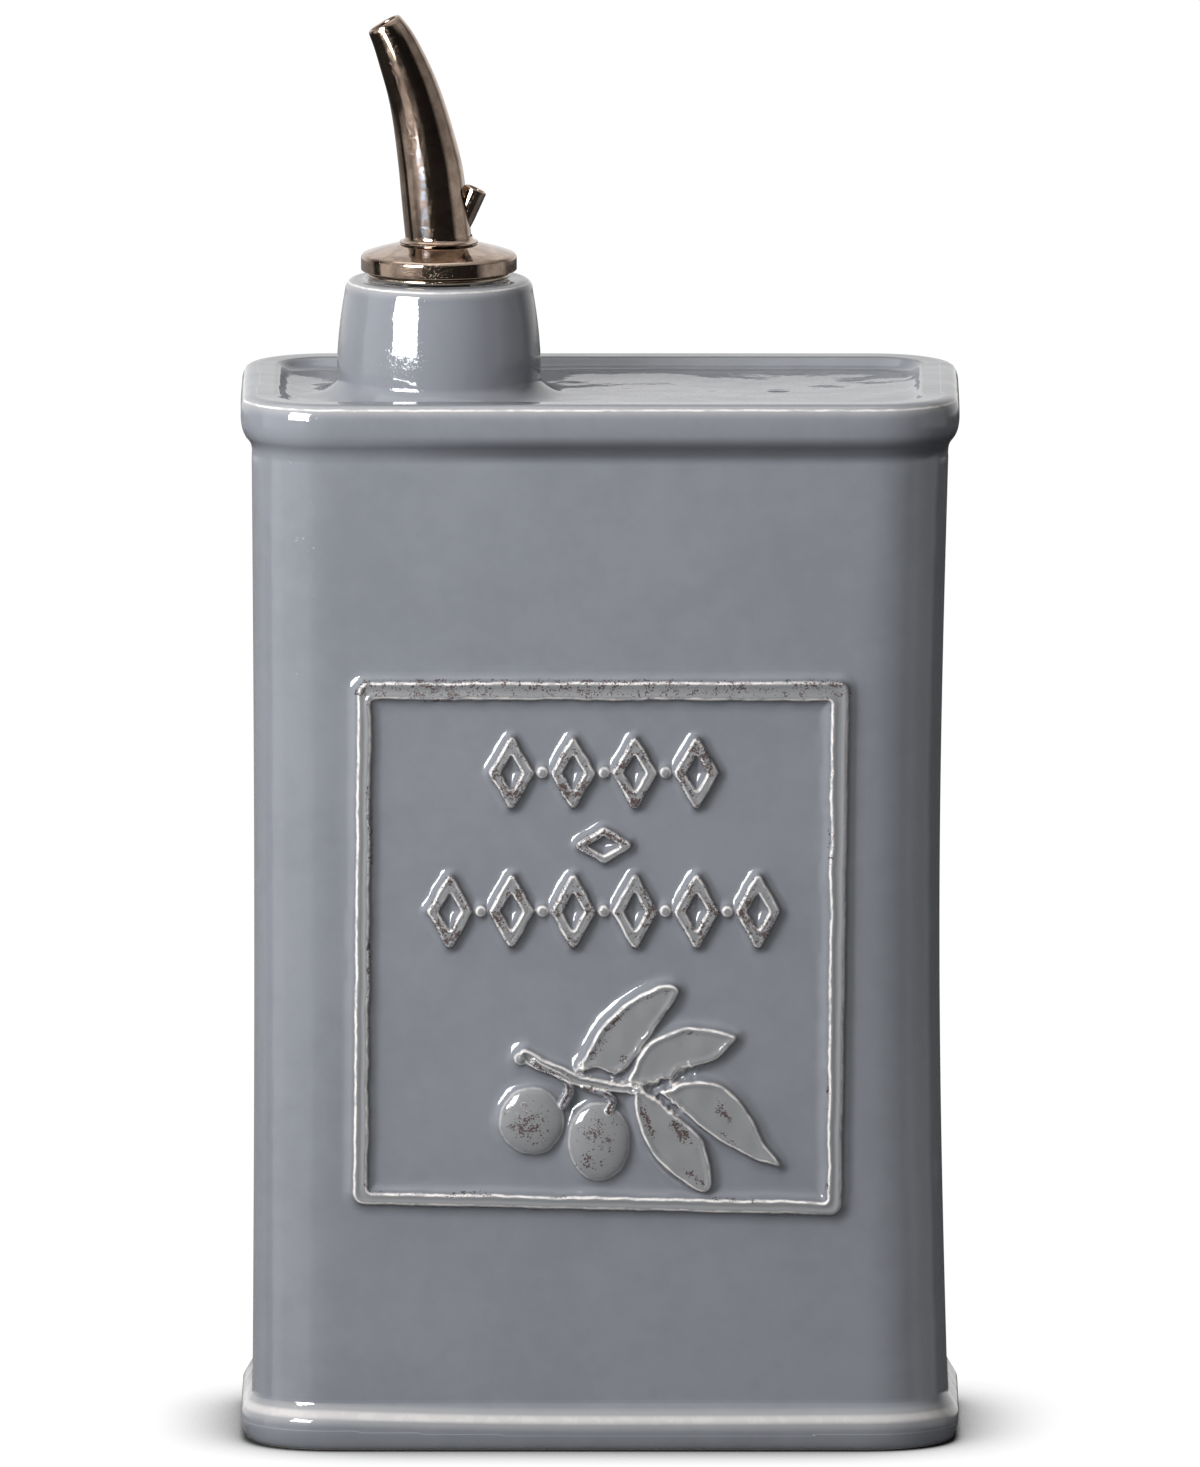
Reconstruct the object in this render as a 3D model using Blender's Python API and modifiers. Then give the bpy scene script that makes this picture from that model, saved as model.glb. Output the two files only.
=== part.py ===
"""Olive oil can: a hollow glazed ceramic can with a metal pourer in a ribbed stopper.

Metres, +Z up. The origin lies on the surface that the can stands on, under the middle of its box.
The front panel with the relief faces -Y, and the spout leans towards -X.
"""

import math

import bmesh
import bpy
from mathutils import Matrix, Vector

# Fits and cuts
TOUCH_GAP = 0.0003
CUT_OVERRUN = 0.0020
WELD_DISTANCE = 0.000001
TURN_MERGE_DISTANCE = 0.00001
SHARP_ANGLE = math.radians(35.0)

# Fineness of round shapes
TURN_STEPS = 40
CORNER_STEPS = 7
BEAD_STEPS = 7
WALL_STEPS = 6
TUBE_RESOLUTION = 5
ROUTE_STEPS = 4

# Ceramic can
BODY_WIDTH = 0.1334
BODY_DEPTH = 0.0720
CORNER_RADIUS = 0.0145
CAN_HEIGHT = 0.2024
WALL = 0.0045
DECK_THICKNESS = 0.0045
FLOOR_THICKNESS = 0.0050
LEFT_SAG = 0.0004
RIGHT_SAG = 0.0016

# Beads round the rim and the foot
BEAD_PROJECTION = 0.0022
RIM_BEAD_HEIGHT = 0.0078
RIM_EDGE_RADIUS = 0.0016
FOOT_BEAD_HEIGHT = 0.0105
FOOT_RING_WIDTH = 0.0075
FOOT_RECESS_DEPTH = 0.0016

# Tray on top
TRAY_INSET = 0.0051
TRAY_DEPTH = 0.0028
TRAY_WALL_RUN = 0.0009

# Neck
NECK_X = -0.0309
NECK_RISE = 0.0223
NECK_TOP_DIAMETER = 0.0360
NECK_FOOT_DIAMETER = 0.0392
NECK_EDGE_RADIUS = 0.0022
NECK_FILLET = 0.0032
NECK_BORE = 0.0210

# Front relief: the raised frame
FRAME_LEFT = -0.0450
FRAME_RIGHT = 0.0465
FRAME_BOTTOM = 0.0480
FRAME_TOP = 0.1476
FRAME_CORNER_RADIUS = 0.0018
FRAME_RIDGE_WIDTH = 0.0032
RELIEF_SINK = 0.0012

# Front relief: rows of lozenges and dots, each row with its own height, count and size
LOZENGE_PITCH = 0.0118
LOZENGE_WIDTH = 0.0086
LOZENGE_RISE = 0.0013
LOZENGE_TOP_SHARE = 0.34
DOT_DIAMETER = 0.0030
DOT_RISE = 0.0012
UPPER_ROW_Z = 0.1314
UPPER_ROW_COUNT = 4
UPPER_ROW_HEIGHT = 0.0128
MIDDLE_ROW_Z = 0.1174
MIDDLE_ROW_COUNT = 1
MIDDLE_ROW_HEIGHT = 0.0068
MIDDLE_ROW_WIDTH = 0.0104
LOWER_ROW_Z = 0.1046
LOWER_ROW_COUNT = 6
LOWER_ROW_HEIGHT = 0.0136

# Front relief: the olive sprig, placed from the joint of its twig
SPRIG_X = -0.0075
SPRIG_Z = 0.0728
LEAF_THICKNESS = 0.0012
LEAF_EDGE = 0.0004
OLIVE_WIDTH = 0.0124
OLIVE_RISE = 0.0020
ROUND_OLIVE_HEIGHT = 0.0132
LONG_OLIVE_HEIGHT = 0.0150
TWIG_DIAMETER = 0.0022
STALK_DIAMETER = 0.0014
LEAF_LENGTHS = {"upper_left": 0.0244, "upper_right": 0.0227, "lower_right": 0.0258, "lower_left": 0.0222}
LEAF_WIDTHS = {"upper_left": 0.0076, "upper_right": 0.0074, "lower_right": 0.0086, "lower_left": 0.0081}
LEAF_BOWS = {"upper_left": 0.0003, "upper_right": 0.0011, "lower_right": 0.0019, "lower_left": -0.0005}
LEAF_TURNS = {"upper_left": 39.5, "upper_right": 20.5, "lower_right": -33.0, "lower_left": -51.5}
TWIG_LENGTH = 0.0236

# Points along the twig, as shares of its length from the joint
TWIG_SHARES = ((-0.32, 0.17), (-0.19, 0.1), (0.0, 0.0), (0.12, -0.05), (0.36, -0.1), (0.6, -0.11), (0.84, -0.11))

# Places of the leaves, stalks and olives, as shares of the twig's length from its joint
LEAF_FOOT_SHARES = {
    "upper_left": (0.14, 0.06),
    "upper_right": (0.5, -0.01),
    "lower_right": (0.84, -0.11),
    "lower_left": (0.62, -0.18),
}
STALK_SHARES = {
    "round_olive": ((0.02, 0.0), (0.07, -0.12), (0.05, -0.24), (-0.04, -0.29)),
    "long_olive": ((0.33, -0.1), (0.37, -0.2), (0.37, -0.34)),
}
OLIVE_SHARES = {"round_olive": (-0.24, -0.36), "long_olive": (0.31, -0.54)}

# Half of a leaf outline, as shares of its length and of its width
LEAF_OUTLINE_SHARES = ((0.0, 0.03), (0.1, 0.24), (0.26, 0.43), (0.46, 0.5), (0.66, 0.43), (0.84, 0.24), (0.95, 0.08))

# Pourer: stopper, seat ring and stem
STOPPER_LENGTH = 0.0240
STOPPER_CORE_DIAMETER = 0.0164
STOPPER_FIN_COUNT = 5
STOPPER_FIN_THICKNESS = 0.0016
SEAT_RING_DIAMETER = 0.0276
SEAT_RING_THICKNESS = 0.0010
STEM_DIAMETER = 0.0120
STEM_WALL = 0.0006
STEM_BELOW_STOPPER = 0.0020
STEM_LIP_DIAMETER = 0.0190
STEM_LIP_THICKNESS = 0.0009

# Pourer: flange, collar and spout
FLANGE_DIAMETER = 0.0299
FLANGE_BAND_HEIGHT = 0.0024
FLANGE_EDGE_RADIUS = 0.0009
FLANGE_DOME_HEIGHT = 0.0027
FLANGE_TOP_DIAMETER = 0.0154
COLLAR_DIAMETER = 0.0146
COLLAR_HEIGHT = 0.0011
SPOUT_FOOT_DIAMETER = 0.0126
SPOUT_TIP_DIAMETER = 0.0068
SPOUT_WALL = 0.0007
SPOUT_RISE = 0.0432
SPOUT_REACH = 0.0106

# Spout line, as shares of its rise and reach, with the share of its taper
SPOUT_LINE_SHARES = (
    (0.0, 0.0, 0.0),
    (0.12, 0.05, 0.0),
    (0.23, 0.1, 0.03),
    (0.36, 0.165, 0.09),
    (0.56, 0.325, 0.31),
    (0.7, 0.475, 0.47),
    (0.83, 0.665, 0.63),
    (0.92, 0.82, 0.79),
    (1.0, 1.0, 1.0),
)

# Breather tube
BREATHER_DIAMETER = 0.0044
BREATHER_WALL = 0.0006
BREATHER_X = 0.0029
BREATHER_BEND_RISE = 0.0009
BREATHER_SLANT_RISE = 0.0094
BREATHER_SLANT = math.radians(24.3)
BREATHER_BELOW_STEM = 0.0160

# Heights that follow from the sizes above
DECK_Z = CAN_HEIGHT - TRAY_DEPTH
NECK_TOP_Z = DECK_Z + NECK_RISE
SEAT_RING_Z = NECK_TOP_Z + TOUCH_GAP
FLANGE_Z = SEAT_RING_Z + SEAT_RING_THICKNESS + TOUCH_GAP
FLANGE_TOP_Z = FLANGE_Z + FLANGE_BAND_HEIGHT + FLANGE_DOME_HEIGHT
COLLAR_Z = FLANGE_TOP_Z + TOUCH_GAP
SPOUT_FOOT_Z = FLANGE_Z + STEM_LIP_THICKNESS + TOUCH_GAP
STOPPER_BOTTOM_Z = NECK_TOP_Z - STOPPER_LENGTH
STEM_BOTTOM_Z = STOPPER_BOTTOM_Z - STEM_BELOW_STOPPER
FRONT_Y = -BODY_DEPTH / 2

# Radii that follow from the sizes above
SPOUT_FOOT_RADIUS = SPOUT_FOOT_DIAMETER / 2
SPOUT_HOLE_RADIUS = SPOUT_FOOT_RADIUS + TOUCH_GAP
STEM_RADIUS = STEM_DIAMETER / 2
STEM_HOLE_RADIUS = STEM_RADIUS + TOUCH_GAP


def clear_scene():
    for item in list(bpy.data.objects):
        bpy.data.objects.remove(item, do_unlink=True)


def new_collection(name):
    collection = bpy.data.collections.new(name)
    bpy.context.scene.collection.children.link(collection)
    return collection


def make_material(name, colour, roughness, metallic=0.0):
    material = bpy.data.materials.new(name)
    material.use_nodes = True
    shader = material.node_tree.nodes["Principled BSDF"]
    shader.inputs["Base Color"].default_value = (*colour, 1.0)
    shader.inputs["Roughness"].default_value = roughness
    shader.inputs["Metallic"].default_value = metallic
    return material


def add_object(name, data, collection, location=(0.0, 0.0, 0.0)):
    item = bpy.data.objects.new(name, data)
    item.location = location
    collection.objects.link(item)
    return item


def mark_as_tool(item):
    item.hide_render = True
    item.display_type = "WIRE"


def finish_piece(item, material, parent=None):
    item.data.materials.clear()
    item.data.materials.append(material)
    if parent is not None:
        item.parent = parent
        item.location -= parent.location


def shade_round(mesh):
    mesh.shade_smooth()
    mesh.set_sharp_from_angle(angle=SHARP_ANGLE)


# Shapes that several pieces use
def rounded_ring(left, right, half_depth, radius, z):
    """Points of a rounded rectangle at height z, anticlockwise from its +X side."""
    centres = (
        (right - radius, half_depth - radius),
        (left + radius, half_depth - radius),
        (left + radius, radius - half_depth),
        (right - radius, radius - half_depth),
    )
    points = []
    for quarter, (x, y) in enumerate(centres):
        for step in range(CORNER_STEPS + 1):
            angle = (quarter + step / CORNER_STEPS) * math.pi / 2
            points.append(Vector((x + radius * math.cos(angle), y + radius * math.sin(angle), z)))
    return points


def loft(name, sections, collection):
    """A closed solid through rings of equal count, capped at both ends."""
    bm = bmesh.new()
    rings = []
    for points in sections:
        verts = [bm.verts.new(point) for point in points]
        edges = [bm.edges.new(pair) for pair in zip(verts, verts[1:] + verts[:1])]
        rings.append((verts, edges))
    for lower, upper in zip(rings, rings[1:]):
        bmesh.ops.bridge_loops(bm, edges=lower[1] + upper[1])
    bm.faces.new(rings[0][0])
    bm.faces.new(rings[-1][0])
    bmesh.ops.recalc_face_normals(bm, faces=bm.faces[:])
    mesh = bpy.data.meshes.new(name)
    bm.to_mesh(mesh)
    bm.free()
    return add_object(name, mesh, collection)


def turned(name, profile, collection, location, steps=TURN_STEPS):
    """A profile of (radius, height) points, outer side downwards, turned about the axis at location."""
    bm = bmesh.new()
    verts = [bm.verts.new((radius, 0.0, height)) for radius, height in profile]
    for pair in zip(verts, verts[1:]):
        bm.edges.new(pair)
    if profile[0][0] > 0.0:
        bm.edges.new((verts[-1], verts[0]))
    mesh = bpy.data.meshes.new(name)
    bm.to_mesh(mesh)
    bm.free()
    item = add_object(name, mesh, collection, location)
    screw = item.modifiers.new("turn", "SCREW")
    screw.steps = steps
    screw.render_steps = steps
    screw.use_merge_vertices = True
    screw.merge_threshold = TURN_MERGE_DISTANCE
    screw.use_smooth_shade = False
    return item


def tube_mesh(name, points, radii, closed=False, resolution=TUBE_RESOLUTION):
    """The welded mesh of a round tube along points, with its own radius at each."""
    curve = bpy.data.curves.new(name, "CURVE")
    curve.dimensions = "3D"
    curve.bevel_depth = 1.0
    curve.bevel_resolution = resolution
    curve.use_fill_caps = not closed
    spline = curve.splines.new("POLY")
    spline.points.add(len(points) - 1)
    for point, place, radius in zip(spline.points, points, radii):
        point.co = (*place, 1.0)
        point.radius = radius
    spline.use_cyclic_u = closed
    return welded_mesh(name, curve)


def outline_mesh(name, points, half_thickness, edge):
    """The welded mesh of a flat outline in XY with a chamfered edge."""
    curve = bpy.data.curves.new(name, "CURVE")
    curve.dimensions = "2D"
    curve.fill_mode = "BOTH"
    curve.extrude = half_thickness - edge
    curve.bevel_depth = edge
    curve.bevel_resolution = 0
    spline = curve.splines.new("POLY")
    spline.points.add(len(points) - 1)
    for point, (x, y) in zip(spline.points, points):
        point.co = (x, y, 0.0, 1.0)
    spline.use_cyclic_u = True
    return welded_mesh(name, curve)


def welded_mesh(name, curve):
    guide = bpy.data.objects.new(name + "_guide", curve)
    bpy.context.scene.collection.objects.link(guide)
    evaluated = guide.evaluated_get(bpy.context.evaluated_depsgraph_get())
    mesh = bpy.data.meshes.new_from_object(evaluated)
    bpy.data.objects.remove(guide, do_unlink=True)
    bpy.data.curves.remove(curve)
    mesh.name = name
    bm = bmesh.new()
    bm.from_mesh(mesh)
    bmesh.ops.remove_doubles(bm, verts=bm.verts[:], dist=WELD_DISTANCE)
    bmesh.ops.recalc_face_normals(bm, faces=bm.faces[:])
    bm.to_mesh(mesh)
    bm.free()
    return mesh


def smooth_route(points, steps=ROUTE_STEPS):
    """A Catmull-Rom curve through points of any dimension, as Vectors."""
    anchors = [Vector(point) for point in points]
    padded = [2 * anchors[0] - anchors[1], *anchors, 2 * anchors[-1] - anchors[-2]]
    route = []
    for before, start, end, after in zip(padded, padded[1:], padded[2:], padded[3:]):
        for step in range(steps):
            t = step / steps
            bend = 2 * before - 5 * start + 4 * end - after
            twist = 3 * start - before - 3 * end + after
            route.append((2 * start + (end - before) * t + bend * t * t + twist * t ** 3) / 2)
    route.append(anchors[-1])
    return route


def arc_points(centre, radii, start, end, steps):
    """Points along an arc of an ellipse, as (radius, height) pairs."""
    points = []
    for step in range(steps + 1):
        angle = math.radians(start + (end - start) * step / steps)
        points.append((centre[0] + radii[0] * math.cos(angle), centre[1] + radii[1] * math.sin(angle)))
    return points


def add_boolean(item, name, operation, operands):
    modifier = item.modifiers.new(name, "BOOLEAN")
    modifier.operation = operation
    modifier.solver = "EXACT"
    modifier.operand_type = "COLLECTION"
    modifier.collection = operands


# Ceramic can
def wall_ring(outward, z, sag_share=0.0):
    """A ring that follows the can's walls, moved outward, with its sides drawn in by a share of their sag."""
    half_width = BODY_WIDTH / 2 + outward
    left = LEFT_SAG * sag_share - half_width
    right = half_width - RIGHT_SAG * sag_share
    return rounded_ring(left, right, BODY_DEPTH / 2 + outward, CORNER_RADIUS + outward, z)


def can_sections():
    foot_inner = -FOOT_RING_WIDTH
    sections = [wall_ring(foot_inner, FOOT_RECESS_DEPTH), wall_ring(foot_inner, 0.0)]
    foot_crest = FOOT_BEAD_HEIGHT / 2
    for outward, z in arc_points((0.0, foot_crest), (BEAD_PROJECTION, foot_crest), -90.0, 90.0, BEAD_STEPS):
        sections.append(wall_ring(outward, z))
    rim_bottom = CAN_HEIGHT - RIM_BEAD_HEIGHT
    for step in range(1, WALL_STEPS):
        share = step / WALL_STEPS
        z = FOOT_BEAD_HEIGHT + (rim_bottom - FOOT_BEAD_HEIGHT) * share
        sections.append(wall_ring(0.0, z, math.sin(math.pi * share)))
    rim_crest = CAN_HEIGHT - RIM_BEAD_HEIGHT / 2
    lower_arc = arc_points((0.0, rim_crest), (BEAD_PROJECTION, RIM_BEAD_HEIGHT / 2), -90.0, 0.0, BEAD_STEPS // 2)
    edge_centre = (BEAD_PROJECTION - RIM_EDGE_RADIUS, CAN_HEIGHT - RIM_EDGE_RADIUS)
    upper_arc = arc_points(edge_centre, (RIM_EDGE_RADIUS, RIM_EDGE_RADIUS), 0.0, 90.0, BEAD_STEPS // 2)
    for outward, z in lower_arc + upper_arc:
        sections.append(wall_ring(outward, z))
    sections.append(wall_ring(-TRAY_INSET, CAN_HEIGHT))
    sections.append(wall_ring(-TRAY_INSET - TRAY_WALL_RUN, DECK_Z))
    return sections


def neck_profile():
    top_radius = NECK_TOP_DIAMETER / 2
    foot_radius = NECK_FOOT_DIAMETER / 2
    profile = [(0.0, NECK_RISE)]
    edge_centre = (top_radius - NECK_EDGE_RADIUS, NECK_RISE - NECK_EDGE_RADIUS)
    profile += arc_points(edge_centre, (NECK_EDGE_RADIUS, NECK_EDGE_RADIUS), 90.0, 0.0, 4)
    fillet_centre = (foot_radius + NECK_FILLET, NECK_FILLET)
    profile += arc_points(fillet_centre, (NECK_FILLET, NECK_FILLET), 180.0, 270.0, 4)
    profile += [(foot_radius + NECK_FILLET, -RELIEF_SINK), (0.0, -RELIEF_SINK)]
    return profile


def frame_ridge(collection):
    """The raised frame of the front panel: a round ridge sunk to its middle in the wall."""
    radius = FRAME_RIDGE_WIDTH / 2
    half_width = (FRAME_RIGHT - FRAME_LEFT) / 2
    half_height = (FRAME_TOP - FRAME_BOTTOM) / 2
    flat_ring = rounded_ring(-half_width, half_width, half_height, FRAME_CORNER_RADIUS, 0.0)
    points = [Vector((point.x, 0.0, point.y)) for point in flat_ring]
    mesh = tube_mesh("frame_ridge", points, [radius] * len(points), closed=True, resolution=3)
    centre = ((FRAME_LEFT + FRAME_RIGHT) / 2, FRONT_Y, (FRAME_TOP + FRAME_BOTTOM) / 2)
    return add_object("frame_ridge", mesh, collection, centre)


def panel_place(x, z, proud):
    """The place of a relief shape whose front stands proud of the panel by its own thickness."""
    return Vector((x, FRONT_Y - proud, z))


def panel_solid(name, make_shape, size, place, collection):
    """A unit shape about its origin, scaled to size and set on the front panel."""
    bm = bmesh.new()
    make_shape(bm)
    bmesh.ops.scale(bm, vec=size, verts=bm.verts[:])
    mesh = bpy.data.meshes.new(name)
    bm.to_mesh(mesh)
    bm.free()
    return add_object(name, mesh, collection, place)


def unit_ball(bm):
    bmesh.ops.create_uvsphere(bm, u_segments=14, v_segments=8, radius=1.0)


def unit_lozenge(bm):
    """A four-sided frustum of unit height with its small end towards -Y and its base at the origin."""
    lift = Matrix.Rotation(math.radians(90.0), 4, "X") @ Matrix.Translation((0.0, 0.0, 0.5))
    bmesh.ops.create_cone(
        bm, cap_ends=True, segments=4, radius1=1.0, radius2=LOZENGE_TOP_SHARE, depth=1.0, matrix=lift
    )


def add_lozenge(name, x, z, width, height, collection):
    size = (width / 2, LOZENGE_RISE + RELIEF_SINK, height / 2)
    return panel_solid(name, unit_lozenge, size, panel_place(x, z, -RELIEF_SINK), collection)


def add_dot(name, x, z, collection):
    size = (DOT_DIAMETER / 2, DOT_RISE, DOT_DIAMETER / 2)
    return panel_solid(name, unit_ball, size, panel_place(x, z, 0.0), collection)


def lozenge_row(name, z, count, width, height, collection):
    """A row of lozenges about the middle of the frame, with a dot in each gap between them."""
    middle = (FRAME_LEFT + FRAME_RIGHT) / 2
    first = middle - LOZENGE_PITCH * (count - 1) / 2
    for number in range(count):
        add_lozenge(f"{name}_lozenge_{number}", first + LOZENGE_PITCH * number, z, width, height, collection)
    for number in range(1, count):
        add_dot(f"{name}_dot_{number}", first + LOZENGE_PITCH * (number - 0.5), z, collection)


def sprig_point(shares):
    return Vector((SPRIG_X + TWIG_LENGTH * shares[0], FRONT_Y, SPRIG_Z + TWIG_LENGTH * shares[1]))


def add_leaf(name, collection):
    """A chamfered leaf, set with its foot on the twig and turned to its own direction."""
    length = LEAF_LENGTHS[name]
    width = LEAF_WIDTHS[name]
    upper = []
    lower = []
    for along, across in LEAF_OUTLINE_SHARES:
        middle = LEAF_BOWS[name] * math.sin(math.pi * along)
        upper.append((length * along, middle + width * across))
        lower.insert(0, (length * along, middle - width * across))
    half_thickness = (LEAF_THICKNESS + RELIEF_SINK) / 2
    mesh = outline_mesh(name, upper + [(length, 0.0)] + lower, half_thickness, LEAF_EDGE)
    place = sprig_point(LEAF_FOOT_SHARES[name]) + Vector((0.0, (RELIEF_SINK - LEAF_THICKNESS) / 2, 0.0))
    leaf = add_object(name, mesh, collection, place)
    leaf.rotation_euler = (math.radians(90.0), math.radians(-LEAF_TURNS[name]), 0.0)
    return leaf


def add_stem(name, share_points, diameter, collection):
    points = smooth_route([sprig_point(shares) for shares in share_points], steps=2)
    mesh = tube_mesh(name, points, [diameter / 2] * len(points), resolution=2)
    return add_object(name, mesh, collection)


def sprig(collection):
    """The olive sprig: a twig, four leaves and two olives on short stalks."""
    add_stem("twig", TWIG_SHARES, TWIG_DIAMETER, collection)
    for name in LEAF_LENGTHS:
        add_leaf(name, collection)
    heights = {"round_olive": ROUND_OLIVE_HEIGHT, "long_olive": LONG_OLIVE_HEIGHT}
    for name, height in heights.items():
        size = (OLIVE_WIDTH / 2, OLIVE_RISE, height / 2)
        panel_solid(name, unit_ball, size, sprig_point(OLIVE_SHARES[name]), collection)
        add_stem(name + "_stalk", STALK_SHARES[name], STALK_DIAMETER, collection)


def can_hollow(collection):
    """The oil space and the bore of the neck."""
    floor_z = FOOT_RECESS_DEPTH + FLOOR_THICKNESS
    ceiling_z = DECK_Z - DECK_THICKNESS
    sections = []
    for step in range(WALL_STEPS + 1):
        share = step / WALL_STEPS
        sections.append(wall_ring(-WALL, floor_z + (ceiling_z - floor_z) * share, math.sin(math.pi * share)))
    loft("oil_space", sections, collection)
    bore_bottom = ceiling_z - CUT_OVERRUN
    bore_top = NECK_TOP_Z + CUT_OVERRUN
    bm = bmesh.new()
    bmesh.ops.create_cone(
        bm,
        cap_ends=True,
        segments=TURN_STEPS,
        radius1=NECK_BORE / 2,
        radius2=NECK_BORE / 2,
        depth=bore_top - bore_bottom,
    )
    mesh = bpy.data.meshes.new("neck_bore")
    bm.to_mesh(mesh)
    bm.free()
    add_object("neck_bore", mesh, collection, (NECK_X, 0.0, (bore_top + bore_bottom) / 2))


def build_can(parts, tools):
    relief = bpy.data.collections.new("raised_shapes")
    hollow = bpy.data.collections.new("hollow_shapes")
    tools.children.link(relief)
    tools.children.link(hollow)
    body = loft("can_body", can_sections(), parts)
    turned("neck_solid", neck_profile(), relief, (NECK_X, 0.0, DECK_Z))
    frame_ridge(relief)
    lozenge_row("upper", UPPER_ROW_Z, UPPER_ROW_COUNT, LOZENGE_WIDTH, UPPER_ROW_HEIGHT, relief)
    lozenge_row("middle", MIDDLE_ROW_Z, MIDDLE_ROW_COUNT, MIDDLE_ROW_WIDTH, MIDDLE_ROW_HEIGHT, relief)
    lozenge_row("lower", LOWER_ROW_Z, LOWER_ROW_COUNT, LOZENGE_WIDTH, LOWER_ROW_HEIGHT, relief)
    sprig(relief)
    can_hollow(hollow)
    for item in (*relief.objects, *hollow.objects):
        mark_as_tool(item)
    add_boolean(body, "join_raised_shapes", "UNION", relief)
    add_boolean(body, "cut_hollow", "DIFFERENCE", hollow)
    shade_round(body.data)
    finish_piece(body, make_material("blue_grey_glaze", (0.30, 0.33, 0.37), 0.12))


# Stopper and its seat
def build_stopper(parts, axis):
    """A ribbed sleeve: a plain core with tapered fins down its length."""
    core = STOPPER_CORE_DIAMETER / 2
    fin = NECK_BORE / 2 - TOUCH_GAP
    pitch = STOPPER_LENGTH / STOPPER_FIN_COUNT
    profile = []
    for number in range(STOPPER_FIN_COUNT):
        top = STOPPER_LENGTH - pitch * number
        profile += [
            (core, top),
            (fin, top - (pitch - STOPPER_FIN_THICKNESS) / 2),
            (fin, top - (pitch + STOPPER_FIN_THICKNESS) / 2),
        ]
    profile += [(core, 0.0), (STEM_HOLE_RADIUS, 0.0), (STEM_HOLE_RADIUS, STOPPER_LENGTH)]
    sleeve = turned("stopper_sleeve", profile, parts, (NECK_X, 0.0, STOPPER_BOTTOM_Z))
    finish_piece(sleeve, make_material("black_stopper", (0.03, 0.03, 0.03), 0.6), axis)


def build_seat_ring(parts, axis):
    radius = SEAT_RING_DIAMETER / 2
    half = SEAT_RING_THICKNESS / 2
    profile = arc_points((radius - half, half), (half, half), 90.0, -90.0, 4)
    profile += [(STEM_HOLE_RADIUS, 0.0), (STEM_HOLE_RADIUS, SEAT_RING_THICKNESS)]
    ring = turned("seat_ring", profile, parts, (NECK_X, 0.0, SEAT_RING_Z))
    finish_piece(ring, make_material("ring_metal", (0.44, 0.40, 0.37), 0.28, 1.0), axis)


# Metal pourer
def build_stem(parts, axis, metal):
    """The tube through the stopper, with the lip that the flange holds."""
    lip_top = FLANGE_Z + STEM_LIP_THICKNESS - STEM_BOTTOM_Z
    lip_bottom = FLANGE_Z - STEM_BOTTOM_Z
    inner = STEM_RADIUS - STEM_WALL
    profile = [
        (inner, lip_top),
        (STEM_LIP_DIAMETER / 2, lip_top),
        (STEM_LIP_DIAMETER / 2, lip_bottom),
        (STEM_RADIUS, lip_bottom),
        (STEM_RADIUS, 0.0),
        (inner, 0.0),
    ]
    stem = turned("stem_tube", profile, parts, (NECK_X, 0.0, STEM_BOTTOM_Z))
    finish_piece(stem, metal, axis)


def build_flange(parts, axis, metal):
    """The domed flange: a vertical band, a shallow cone and a recess below for the stem's lip."""
    rim = FLANGE_DIAMETER / 2
    edge = FLANGE_EDGE_RADIUS
    flange_top = FLANGE_BAND_HEIGHT + FLANGE_DOME_HEIGHT
    recess = STEM_LIP_DIAMETER / 2 + TOUCH_GAP
    recess_depth = STEM_LIP_THICKNESS + TOUCH_GAP
    profile = [(SPOUT_HOLE_RADIUS, flange_top), (FLANGE_TOP_DIAMETER / 2, flange_top)]
    profile += arc_points((rim - edge, FLANGE_BAND_HEIGHT), (edge, edge), 65.0, 0.0, 3)
    profile += [(rim, 0.0), (recess, 0.0), (recess, recess_depth), (SPOUT_HOLE_RADIUS, recess_depth)]
    flange = turned("flange_cap", profile, parts, (NECK_X, 0.0, FLANGE_Z))
    finish_piece(flange, metal, axis)


def build_collar(parts, axis, metal):
    half = COLLAR_HEIGHT / 2
    rim = COLLAR_DIAMETER / 2
    crown = (rim - SPOUT_HOLE_RADIUS) / 2
    profile = [(SPOUT_HOLE_RADIUS, COLLAR_HEIGHT)]
    profile += arc_points((rim - crown, half), (crown, half), 90.0, -90.0, 4)
    profile += [(SPOUT_HOLE_RADIUS, 0.0)]
    collar = turned("spout_collar", profile, parts, (NECK_X, 0.0, COLLAR_Z))
    finish_piece(collar, metal, axis)


def spout_route():
    """Centre line of the spout above the flange, with the radius at each point."""
    line = smooth_route(
        [(NECK_X - SPOUT_REACH * reach, COLLAR_Z + SPOUT_RISE * rise, taper)
         for rise, reach, taper in SPOUT_LINE_SHARES],
        steps=2,
    )
    narrowing = (SPOUT_FOOT_DIAMETER - SPOUT_TIP_DIAMETER) / 2
    points = [Vector((NECK_X, 0.0, SPOUT_FOOT_Z))]
    radii = [SPOUT_FOOT_RADIUS]
    for x, z, taper in line:
        points.append(Vector((x, 0.0, z)))
        radii.append(SPOUT_FOOT_RADIUS - narrowing * taper)
    return points, radii


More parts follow.
